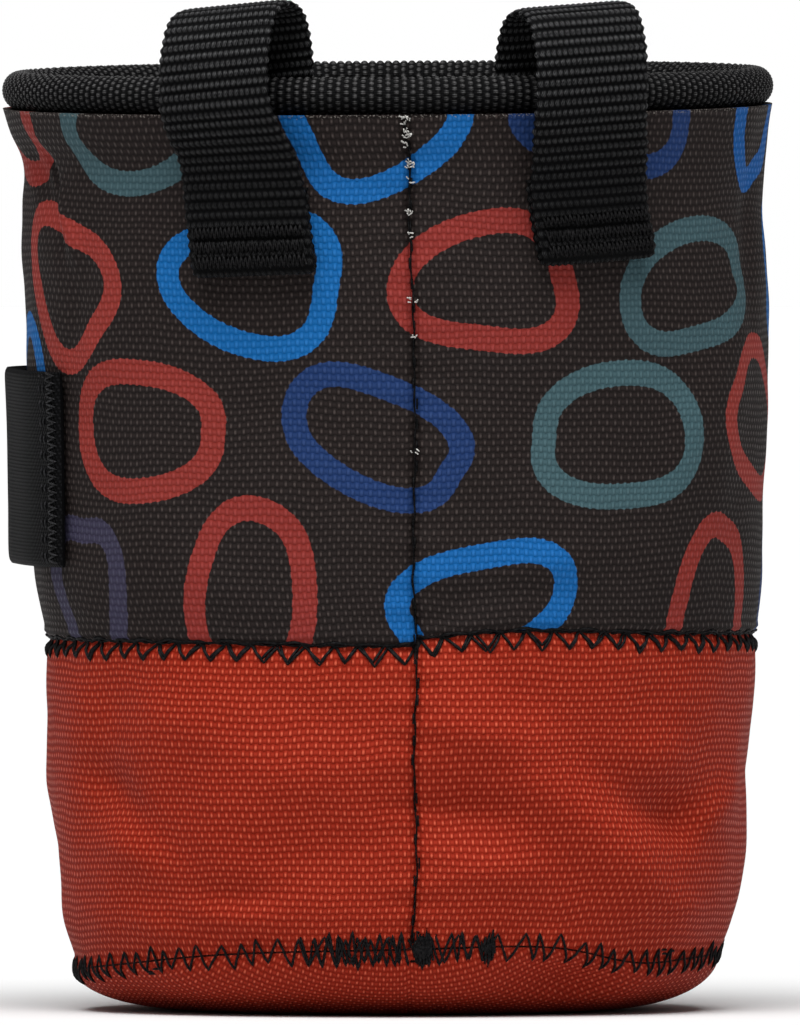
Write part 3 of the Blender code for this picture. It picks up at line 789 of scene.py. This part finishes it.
# Coarse yarn: |cos(pi u)|^0.7 in cords, times beads |cos(pi v)|^0.8 set half a step from one cord
# to the next
def cordRelief(u, v, beading=0.70):
    cord = np.abs(np.cos(math.pi * u)) ** 0.7
    beads = np.abs(np.cos(math.pi * (v + 0.5 * (np.floor(u + 0.5) % 2)))) ** 0.8
    return cord * (1 - beading + beading * beads)


# The rim: centre + (thick + relief) cos turn outwards + (tall + relief) sin turn up, round an oval
def rimPiece():
    count = rim["ribs"] * rim["perRib"]
    thick, tall = bag["rimThick"] / 2, bag["rimTall"] / 2
    fine = np.linspace(0, 2 * math.pi, 2881)
    x, y, _, _ = outline(fine, bag["halfWidth"] - thick, bag["halfDepth"] - thick)
    run = runAlong(np.stack([x, y], axis=-1))
    angles = np.interp(np.linspace(0, run[-1], count, endpoint=False), run, fine)
    x, y, outX, outY = outline(angles, bag["halfWidth"] - thick, bag["halfDepth"] - thick)
    x = x + bag["rimMiddle"]
    centre = np.stack([x, y, bag["rimCentre"] + rimTilt(x, y)], axis=-1)
    turns = np.linspace(0, 2 * math.pi, rim["around"], endpoint=False)[:, None]
    u = np.arange(count)[None, :] / rim["perRib"]
    v = turns / (2 * math.pi) * rim["rows"]
    raised = cordRelief(u, v)
    relief = rim["relief"] * (raised - 0.75)
    relief = relief + 0.12 * np.sin(5 * angles[None, :] + 2.0) * np.cos(turns)
    across = (thick + relief) * np.cos(turns)
    up = (tall + relief) * np.sin(turns)
    points = np.stack([centre[:, 0] + outX * across, centre[:, 1] + outY * across,
                       centre[:, 2] + up], axis=-1)[::-1]
    faces = gridFaces(rim["around"], count, joinRows=True, joinColumns=True)
    flat = gridMap(faces, count, run[-1] / count, rim["girth"] / rim["around"])
    return makePiece("rim_tape", points, faces, flat=flat[..., ::-1],
                     dye=reliefInk(raised[::-1], faces))


finish(rimPiece(), [tapeMaterial], "rim_binding")
print("rim made")

loops = {
    "width": 19.0, "thick": 1.5, "hem": 13.5, "tack": 7.0, "outerSpace": 5.0, "innerSpace": 3.0,
    "top": 157.0, "innerLeg": 20.0, "ribs": 20, "rowPitch": 1.52, "perRow": 5.6, "relief": 0.52,
    # angles at tack and rim, way it faces and roll in degrees; slant as a slope; bottom as a share
    "left": {"tack": -20.6, "rim": -22.9, "facing": -28.0, "roll": 5.0,
             "slant": 0.035, "bottom": 0.797},
    "right": {"tack": 31.3, "rim": 28.0, "facing": 26.0, "roll": 4.0,
              "slant": 0.075, "bottom": 0.812},
}


# Distances out from the cloth: hem, layer over it, outer leg, inner leg, end inside the bag
def loopPlaces():
    half = loops["thick"] / 2
    hem = bag["gap"] + half
    over = hem + loops["thick"] + bag["gap"]
    leg = loops["outerSpace"] + half
    inside = -bag["rimThick"] - loops["innerSpace"] - half
    return hem, over, leg, inside, -bag["wall"] - bag["gap"] - half


# The webbing's middle line, out from the cloth and up: hem, fold, outer leg, arch, inner leg
def loopRoute(bottom):
    hem, over, leg, inside, lining = loopPlaces()
    half = loops["thick"] / 2
    span, bend = leg - inside, (over - hem) / 2
    middle = bottom + half + bend
    turns = np.linspace(math.pi, 2 * math.pi, 9)
    fold = np.stack([hem + bend + bend * np.cos(turns), middle + bend * np.sin(turns)], axis=-1)
    folded = np.array([(hem, bottom + share * loops["hem"]) for share in (1.0, 0.75, 0.5)])
    centre = bag["rimCentre"]
    rise, drop = centre - bottom, loops["top"] - half - centre
    rest = np.array([
        (over, bottom + loops["tack"]),
        (over + 0.12 * (leg - over), bottom + loops["hem"]),
        (over + 0.62 * (leg - over), bottom + 0.72 * rise),
        (leg, centre),
        (leg - 0.05 * span, centre + 0.55 * drop),
        (leg - 0.22 * span, centre + 0.90 * drop),
        (leg - 0.50 * span, centre + drop),
        (leg - 0.80 * span, centre + 0.88 * drop),
        (leg - 0.97 * span, centre + 0.50 * drop),
        (inside, centre),
        (inside + 0.40 * (lining - inside), centre - 0.30 * loops["innerLeg"]),
        (inside + 0.88 * (lining - inside), centre - 0.58 * loops["innerLeg"]),
        (lining, centre - 0.80 * loops["innerLeg"]),
        (lining, centre - loops["innerLeg"]),
    ])
    known = runAlong(rest)
    curve = smooth(np.linspace(0, known[-1], 60), known, rest)
    return np.concatenate([folded, fold, curve])


# Where angles and heights lie on the unfolded cloth, and how far it reaches there for each radian
def onSkin(angle, height, small=0.01):
    here, _ = skin(angle, height, 0.0)
    there, _ = skin(angle + small, height, 0.0)
    return here, np.linalg.norm((there - here)[:, :2], axis=1) / small


# Angle of a loop's middle line at each height, from its tack to the rim
def loopAngle(loop, height):
    bottom = loop["bottom"] * bag["rimCentre"]
    climb = np.clip((height - bottom) / (clothTop() - bottom), 0, 1)
    return np.radians(loop["tack"] + (loop["rim"] - loop["tack"]) * climb)


# Sewn, the webbing lies round on the cloth; free, it is flat across and looks one way; between,
# it is (1 - free) times the one plus free times the other
def loopSheet(loop, across):
    _, over, leg, inside, lining = loopPlaces()
    away, height = loopRoute(loop["bottom"] * bag["rimCentre"]).T
    outer, inner = (away - over) / (leg - over), (lining - away) / (lining - inside)
    free = np.clip(np.maximum(outer, inner), 0, 1)
    free = np.where(height > bag["rimCentre"], 1.0, free)[:, None, None]
    middle = loopAngle(loop, height)
    low = np.minimum(height, clothTop())
    onCloth, perRadian = onSkin(middle, low)
    points, out = skin(middle[:, None] + across / perRadian[:, None], low[:, None], 0.0)
    sewn = points + out * away[:, None, None]
    sewn[:, :, 2] = height[:, None] + across[None, :] * loop["slant"]
    look, tilt = math.radians(loop["facing"]), math.radians(loop["roll"])
    ahead = np.array([math.sin(look), -math.cos(look), 0.0])
    beside = np.array([math.cos(look), math.sin(look), math.tan(tilt)]) * math.cos(tilt)
    centre = onCloth + ahead * away[:, None]
    centre[:, 2] = height
    flat = centre[:, None, :] + beside * across[None, :, None]
    return sewn * (1 - free) + flat * free


# The two faces of a thick sheet: its points plus and minus (half + relief) times its normal
def thickSheet(sheet, half, relief=0.0):
    down = np.gradient(sheet, axis=0)
    side = np.gradient(sheet, axis=1)
    normal = np.cross(side, down)
    normal /= np.linalg.norm(normal, axis=-1)[..., None] + 1e-12
    lift = (half + relief)[..., None]
    return sheet + normal * lift, sheet - normal * lift


# Webbing: the loop's sheet, cross ridges of cordRelief on both faces, edges rounded by
# sqrt(1 - |2 across / width|^14), and a little wider at each ridge
def webbingPiece(name, loop):
    columns = loops["ribs"] * 4 + 1
    across = np.linspace(-0.5, 0.5, columns) * loops["width"]
    coarse = loopSheet(loop, across)
    middle = coarse[:, columns // 2]
    known = runAlong(middle)
    rows = int(known[-1] / loops["rowPitch"] * loops["perRow"])
    run = np.linspace(0, known[-1], rows)
    sheet = smooth(run, known, coarse)
    u = np.linspace(0, loops["ribs"], columns)[None, :] + 0.5
    v = run[:, None] / loops["rowPitch"]
    raised = cordRelief(v, u, 0.45)
    relief = loops["relief"] * (raised - 0.85)
    bulge = 1 + 0.016 * np.cos(2 * math.pi * v)
    sheet = sheet + (sheet - sheet[:, columns // 2, None]) * (bulge - 1)[..., None]
    edge = np.sqrt(np.clip(1 - np.abs(2 * across / loops["width"]) ** 14, 0.12, 1))[None, :]
    front, back = thickSheet(sheet, loops["thick"] / 2 * edge - 0.04, relief * edge)
    points = np.concatenate([front, back[:, ::-1]], axis=1)
    total = 2 * columns
    faces = gridFaces(rows, total, joinColumns=True)
    flat = gridMap(faces, total, loops["width"] / (columns - 1), known[-1] / (rows - 1))
    faces = faces[:, ::-1]
    ends = (rows - 1) * total
    quads = [[k, k + 1, total - 2 - k, total - 1 - k] for k in range(columns - 1)]
    caps = quads + [[ends + k for k in quad[::-1]] for quad in quads]
    tops = reliefInk(np.concatenate([raised, raised[:, ::-1]], axis=1), faces)
    tops = np.concatenate([tops, np.full((4 * len(caps), 4), 0.2)])
    return makePiece(name, points, faces, caps, flat=flat[:, ::-1], dye=tops)


for side in ("left", "right"):
    strap = webbingPiece("webbing_" + side, loops[side])
    finish(strap, [webbingMaterial], "belt_loop_" + side)
print("belt loops made")

brush = {"front": -62.6, "frontSeam": -78.0, "backSeam": -150.0, "back": -160.0, "bow": 7.0,
         "sharpness": 2.0, "lag": 1.3, "bottom": 69.6, "height": 30.6, "thick": 1.5,
         "length": 105.0, "columns": 150, "rows": 64}


# Twill: fine slanting ribs, sin of across plus along, near black with a painted glint on the ribs'
# tops
def twillRecipe(name):
    r = Finish(name, Roughness=0.7, Specular_IOR_Level=0.05)
    u, v = r.across()
    ribs = r.sine((u * 0.9 + v * 0.55) * (2 * math.pi / 0.80))
    picks = r.sine(v * (2 * math.pi / 0.55))
    glintNoise = r.noise(r.place(u, v), 1.8, 3.0)
    # painted highlight: the rib tops glint grey over near black
    glint = r.between(ribs * 0.35 + picks * 0.25 + glintNoise, 0.45, 1.2)
    r.give("Base Color", r.mix(glint, ink(4, 4, 5), ink(22, 22, 24)))
    r.give("Roughness", 0.70 - glint * 0.15)
    r.bump(ribs * 0.6 + picks * 0.4, 0.00009, 0.9)
    return r.material


# The band's middle: the cloth plus bow sin(pi share^lag)^sharpness between its two seams
def brushSheet(angles, heights, lift=0.0):
    front, back = math.radians(brush["frontSeam"]), math.radians(brush["backSeam"])
    share = np.clip((angles - front) / (back - front), 0, 1)
    bow = brush["bow"] * np.sin(math.pi * share ** brush["lag"]) ** brush["sharpness"]
    return offCloth(angles, heights, bag["gap"] + brush["thick"] / 2 + bow + lift, 0.0)


# The band: its sheet made thick, with edges rounded by sqrt(1 - |place|^30) up and |place|^90 along
def brushPiece():
    columns, rows = brush["columns"], brush["rows"]
    angles = np.radians(np.linspace(brush["front"], brush["back"], columns))[None, :]
    heights = brush["bottom"] + brush["height"] * np.linspace(1, 0, rows)[:, None]
    angles, heights = np.broadcast_arrays(angles, heights)
    sheet = brushSheet(angles, heights)
    up, along = np.linspace(-1, 1, rows)[:, None], np.linspace(-1, 1, columns)[None, :]
    edge = np.sqrt(np.clip(1 - np.abs(up) ** 30, 0.15, 1) * np.clip(1 - np.abs(along) ** 90, 0.10, 1))
    front, back = thickSheet(sheet, (brush["thick"] / 2 - 0.05) * edge)
    points = np.concatenate([front, back[::-1]])
    faces = gridFaces(2 * rows, columns, joinRows=True)
    ends = [list(range(0, 2 * rows * columns, columns))[::-1],
            list(range(columns - 1, 2 * rows * columns, columns))]
    flat = gridMap(faces, columns, brush["length"] / (columns - 1), brush["height"] / (rows - 1))
    return makePiece("brush_band", points, faces[:, ::-1], ends, flat=flat[:, ::-1], sharp=60)


finish(brushPiece(), [twillRecipe("elastic_twill")], "brush_loop")
print("brush loop made")


# A zigzag: straight legs between its upper and lower (angle, height) points, lifted by
# liftAt sqrt(sin(pi t)) between their holes
def zigzagPath(upper, lower, liftAt, pointsPerLeg=7):
    upper, lower = np.transpose(upper), np.transpose(lower)
    corners = np.empty((len(upper) + len(lower), 2))
    corners[0::2], corners[1::2] = upper, lower
    t = np.linspace(0, 1, pointsPerLeg, endpoint=False)[None, :, None]
    legs = corners[:-1, None, :] * (1 - t) + corners[1:, None, :] * t
    lift = liftAt * (np.sin(math.pi * t[..., 0]) ** 0.5) + 0 * legs[..., 0]
    return legs.reshape(-1, 2), lift.reshape(-1)


middleSewing = {"pitch": 4.4, "depth": 2.9, "lift": 0.40, "thread": 0.23, "edge": 0.24}


# Middle seam: V stitches hang below the joint, and a dark cord runs along it, partly overlocked edge
# and partly painted shade under the canvas's lower edge
def middleStitches():
    random = np.random.default_rng(3)
    angles, around = evenAngles(2000, bag["middleSeam"])
    count = int(around / middleSewing["pitch"])
    at = np.interp(np.arange(count + 1) / count, np.linspace(0, 1, len(angles)), angles)
    at[0], at[-1] = at[0] + 0.004, at[-1] - 0.004
    step = at[2] - at[1]
    paths = []
    for jitter, depth in ((0.06, middleSewing["depth"]), (0.16, middleSewing["depth"] - 0.35)):
        upperAt = at + step * random.uniform(-jitter, jitter, count + 1)
        upperAt[0], upperAt[-1] = at[0], at[-1]
        level = middleSeam(upperAt) + random.uniform(-0.2, 0.3, count + 1)
        lowerAt = at[:-1] + step * (0.5 + random.uniform(-0.09, 0.09, count))
        low = middleSeam(lowerAt) - depth + random.uniform(-0.35, 0.35, count)
        path, lift = zigzagPath((upperAt, level), (lowerAt, low), middleSewing["lift"])
        paths.append(offCloth(path[:, 0], path[:, 1], lift - 0.12))
    sew("middle_stitches", paths, middleSewing["thread"], blackThread)
    # the dark cord: overlocked edge thread, and painted shade under the canvas's edge
    along = math.radians(bag["backSeam"]) + np.linspace(0.006, 2 * math.pi - 0.006, 1400)
    edges = []
    for rise, beat in ((-0.05, 90), (0.22, 61)):
        wave = middleSeam(along) + rise + 0.14 * np.sin(beat * along) + 0.10 * np.sin(37 * along + 1)
        edges.append(offCloth(along, wave, -0.05 + 0.08 * np.sin(170 * along + rise)))
    sew("middle_edge", edges, middleSewing["edge"], blackThread)


middleStitches()


# A point near the base seam, up on the wall or down round the base's edge
def nearBase(angle, off):
    height = baseSeam(angle)
    above, outAbove = skin(angle, height + np.maximum(off, 0), 0.4)
    below, outBelow = baseSkin(angle, np.clip(-off / height, 0, 1.2))
    up = (off > 0)[:, None]
    return np.where(up, above, below), np.where(up, outAbove, outBelow)


# Runs of zigzag along the base seam, each an uneven one: shares of the way round where it starts
# and ends, pitch and size. The ones of small pitch are knots of thread, whose outline is an oval
baseRuns = [
    (0.0, 1.0, 3.6, 2.2), (-0.056, 0.040, 2.4, 2.6), (-0.048, 0.014, 1.9, 3.0),
    (0.001, 0.010, 0.26, 3.3), (0.035, 0.043, 0.50, 3.0), (0.30, 0.36, 2.3, 2.2),
]
baseSewing = {"radius": 52.0, "lift": 0.40, "thread": 0.20, "edge": 0.42, "edgeDeep": 0.55}


# Base seam: the runs of zigzag, and the cloth's turned-in edge that shows in the joint, in a dark red
# as painted shade in the joint
def baseStitches():
    random = np.random.default_rng(11)
    angles, around = evenAngles(2000, 20.0)
    known = np.linspace(0, 1, len(angles))
    paths = []
    for first, last, pitch, size in baseRuns:
        count = int(around * (last - first) / pitch)
        place = np.arange(count) + random.uniform(-0.22, 0.22, count)
        share = first + (last - first) * place / count
        at = np.interp(share % 1.0, known, angles)
        high = size * (0.85 + random.uniform(-0.22, 0.22, count))
        low = -size * (0.85 + random.uniform(-0.22, 0.22, count))
        if pitch < 1:
            oval = np.sqrt(np.clip(1 - np.linspace(-1, 1, count) ** 2, 0.12, 1))
            high, low = high * oval, low * oval
        lean = random.uniform(0.38, 0.62, count) * pitch / baseSewing["radius"]
        path, lift = zigzagPath((at, high), (at + lean, low), baseSewing["lift"])
        hop = np.abs(np.diff(path[:, 0], append=path[-1, 0])) > 1.0     # across the back seam
        points, out = nearBase(path[:, 0], path[:, 1])
        whole = points + out * (lift - 0.10)[:, None]
        cuts = np.flatnonzero(hop) + 1
        paths += [run for run in np.split(whole, cuts) if len(run) > 8]
    sew("base_stitches", paths, baseSewing["thread"], blackThread)
    along = math.radians(bag["backSeam"]) + np.linspace(0.004, 2 * math.pi - 0.004, 900)
    edge = offCloth(along, baseSeam(along), -baseSewing["edgeDeep"], 0.4)
    sew("base_edge", [edge], baseSewing["edge"], shadedEdgeThread)


baseStitches()


# Tufts of white fibre on the back seam: height, number of fibres, spread
fray = [
    (140.2, 12, 0.6), (138.2, 12, 0.8), (136.4, 5, 0.5), (133.2, 12, 0.5), (131.0, 3, 0.8),
    (125.4, 7, 0.6), (122.0, 3, 0.4), (111.9, 6, 0.4), (106.0, 3, 0.4), (88.0, 3, 0.5),
]
backSewing = {"pitch": 3.1, "low": 12.0, "high": 139.0, "thread": 0.15, "fibre": 0.11, "radius": 56.0}


# Back seam: black thread deep in the valley, short stitches that come up, and white fray above
def backSeamThread():
    random = np.random.default_rng(5)
    middle = math.radians(bag["backSeam"])
    heights = np.linspace(clothTop() - 0.4, baseSeam(np.array([middle]))[0] + 0.5, 620)
    sway = middle + np.radians(0.10) * np.sin(heights * 0.9)
    paths = [offCloth(sway, heights, 0.12 + 0.10 * np.sin(heights * 2.1))]
    for height in np.arange(backSewing["low"], backSewing["high"], backSewing["pitch"]):
        level = height + random.uniform(-0.5, 0.5) + np.linspace(-0.8, 0.8, 7)
        angle = middle + np.radians(random.uniform(-0.35, 0.35)) + 0 * level
        paths.append(offCloth(angle, level, 0.25 + 0.25 * np.cos(np.linspace(-1.5, 1.5, 7))))
    sew("back_seam_thread", paths, backSewing["thread"], blackThread)
    fibres = []
    for level, count, spread in fray:
        for _ in range(count):
            length, turn = random.uniform(0.25, 0.65), random.uniform(-1.5, 1.5)
            start = level + random.uniform(-spread, spread)
            angle = middle + np.radians(random.uniform(-0.55, 0.55))
            t = np.linspace(0, 1, 5)
            aside, up = np.sin(turn) * length * t, np.cos(turn) * length * t
            angle = angle + aside / backSewing["radius"]
            fibres.append(offCloth(angle, start + up, 0.75 + 0.35 * np.sin(2.6 * t)))
    sew("seam_fray", fibres, backSewing["fibre"], whiteFibre, 5)


backSeamThread()


# Rows of a bar tack: rise above the loop's foot and half height
tackRows = [(2.3, 0.9), (4.6, 0.9), (6.9, 0.8)]
tackSewing = {"legs": 26, "halfWidth": 0.44, "lift": 0.30, "thread": 0.20}


# Bar tacks: rows of close zigzag across the foot of each belt loop, on its outer layer
def barTacks():
    random = np.random.default_rng(9)
    front = loopPlaces()[1] + loops["thick"] / 2 + 0.02
    count = tackSewing["legs"]
    x = np.linspace(-1, 1, count) * tackSewing["halfWidth"] * loops["width"]
    paths = []
    for side in ("left", "right"):
        loop = loops[side]
        for rise, size in tackRows:
            level = loop["bottom"] * bag["rimCentre"] + rise
            high = level + size + random.uniform(-0.15, 0.15, count)
            low = level - size + random.uniform(-0.15, 0.15, count)
            between = x + (x[1] - x[0]) / 2
            path, lift = zigzagPath((x, high), (between, low), tackSewing["lift"], 5)
            aside, height = path.T
            _, perRadian = onSkin(np.full(len(path), math.radians(loop["tack"])), height)
            points, out = skin(loopAngle(loop, height) + aside / perRadian, height, 0.0)
            points[:, 2] = height + aside * loop["slant"]
            paths.append(points + out * (front + lift)[:, None])
    sew("bar_tacks", paths, tackSewing["thread"], blackThread, 5)


barTacks()


brushSewing = {"legs": 25, "zigzag": 2.9, "lift": 0.35, "thread": 0.15}


# Brush loop: a zigzag column at each end, and straight lines of thread that waves in and out
def brushStitches():
    paths = []
    low, high = brush["bottom"], brush["bottom"] + brush["height"]
    heights = np.linspace(low + 0.6, high - 0.6, brushSewing["legs"])
    for front in (brush["front"] - 0.9, brush["back"] + 4.2):
        first = math.radians(front) + 0 * heights
        last = math.radians(front - brushSewing["zigzag"]) + 0 * heights
        path, lift = zigzagPath((first, heights), (last, heights + 0.6), brushSewing["lift"], 6)
        paths.append(brushSheet(path[:, 0], path[:, 1], brush["thick"] / 2 + lift - 0.05))
    level = np.linspace(low + 0.4, high - 0.4, 300)
    for line in (brush["front"] - 5.2, brush["front"] - 6.6, brush["backSeam"] - 2.0):
        lift = brush["thick"] / 2 - 0.1 + 0.2 * np.sin(level * 2.4)
        paths.append(brushSheet(math.radians(line) + 0 * level, level, lift))
    sew("brush_stitches", paths, brushSewing["thread"], greyThread)


brushStitches()
print("stitches made")

# In metres. The white sky's strength as a light is sky, and seen directly it is 1
stage = {"sky": 0.20, "floorGrey": 0.62, "floorRadius": 14, "floorSides": 96, "floorDrop": 0.0001}
view = {"distance": 5.2, "elevation": 0.8, "middle": (0.0006, 0.0, 0.0776), "sensor": 36.0,
        "pixelsTall": 1025, "pixelsPerMetre": 6400.0}


# Long lens, a little above level: focal length = sensor x distance / the frame's height
def makeCamera():
    tall = view["pixelsTall"] / view["pixelsPerMetre"]
    data = bpy.data.cameras.new("camera")
    data.sensor_width = view["sensor"]
    data.lens = view["sensor"] * view["distance"] / tall
    data.clip_end = 100.0
    camera = bpy.data.objects.new("camera", data)
    lean = math.radians(view["elevation"])
    x, y, z = view["middle"]
    back, up = view["distance"] * math.cos(lean), view["distance"] * math.sin(lean)
    camera.location = (x, y - back, z + up)
    camera.rotation_euler = (math.pi / 2 - lean, 0, 0)
    bpy.context.scene.collection.objects.link(camera)
    bpy.context.scene.camera = camera


# A disc of pale paper: radius times (cos, sin), just under the base
def makeFloor():
    grey = stage["floorGrey"]
    r = Finish("floor_paper", Base_Color=(grey, grey, grey, 1), Roughness=0.9, Specular_IOR_Level=0.1)
    mesh = bpy.data.meshes.new("floor")
    turns = np.linspace(0, 2 * math.pi, stage["floorSides"], endpoint=False)
    x, y = stage["floorRadius"] * np.cos(turns), stage["floorRadius"] * np.sin(turns)
    ring = np.stack([x, y, 0 * turns - stage["floorDrop"]], axis=-1)
    mesh.from_pydata(ring.tolist(), [], [list(range(len(ring)))])
    floor = bpy.data.objects.new("floor", mesh)
    floor.data.materials.append(r.material)
    bpy.context.scene.collection.objects.link(floor)


# A soft light, an AREA or a SUN, turned from its place towards the aim
def makeLight(name, kind, place, aim, **settings):
    data = bpy.data.lights.new(name, kind)
    for key, value in settings.items():
        setattr(data, key, value)
    lamp = bpy.data.objects.new(name, data)
    lamp.location = place
    way = np.array(aim) - np.array(place)
    lamp.rotation_euler = (math.acos(-way[2] / np.linalg.norm(way)), 0,
                           math.atan2(way[1], way[0]) - math.pi / 2)
    bpy.context.scene.collection.objects.link(lamp)


# White sky of strength sky + (1 - sky) seen, where seen is 1 for the camera's own rays
def makeWorld():
    world = bpy.data.worlds.new("studio")
    r = Recipe(world)
    seen = r.node("ShaderNodeLightPath", None, None, "Is Camera Ray")
    strength = seen * (1.0 - stage["sky"]) + stage["sky"]
    background = r.tree.nodes["Background"]
    background.inputs[0].default_value = (1, 1, 1, 1)
    r.tree.links.new(strength.socket, background.inputs[1])
    bpy.context.scene.world = world
    bpy.context.scene.view_settings.view_transform = "Standard"


makeCamera()
makeFloor()
makeWorld()
makeLight("sky_panel", "SUN", (-0.06, -0.80, 2.0), (0, 0, 0), energy=5.0, angle=math.radians(50))
makeLight("front_panel", "AREA", (-0.4, -1.7, 0.9), (0, 0, 0.08), shape="DISK", size=0.6, energy=2.4)
print("stage made")
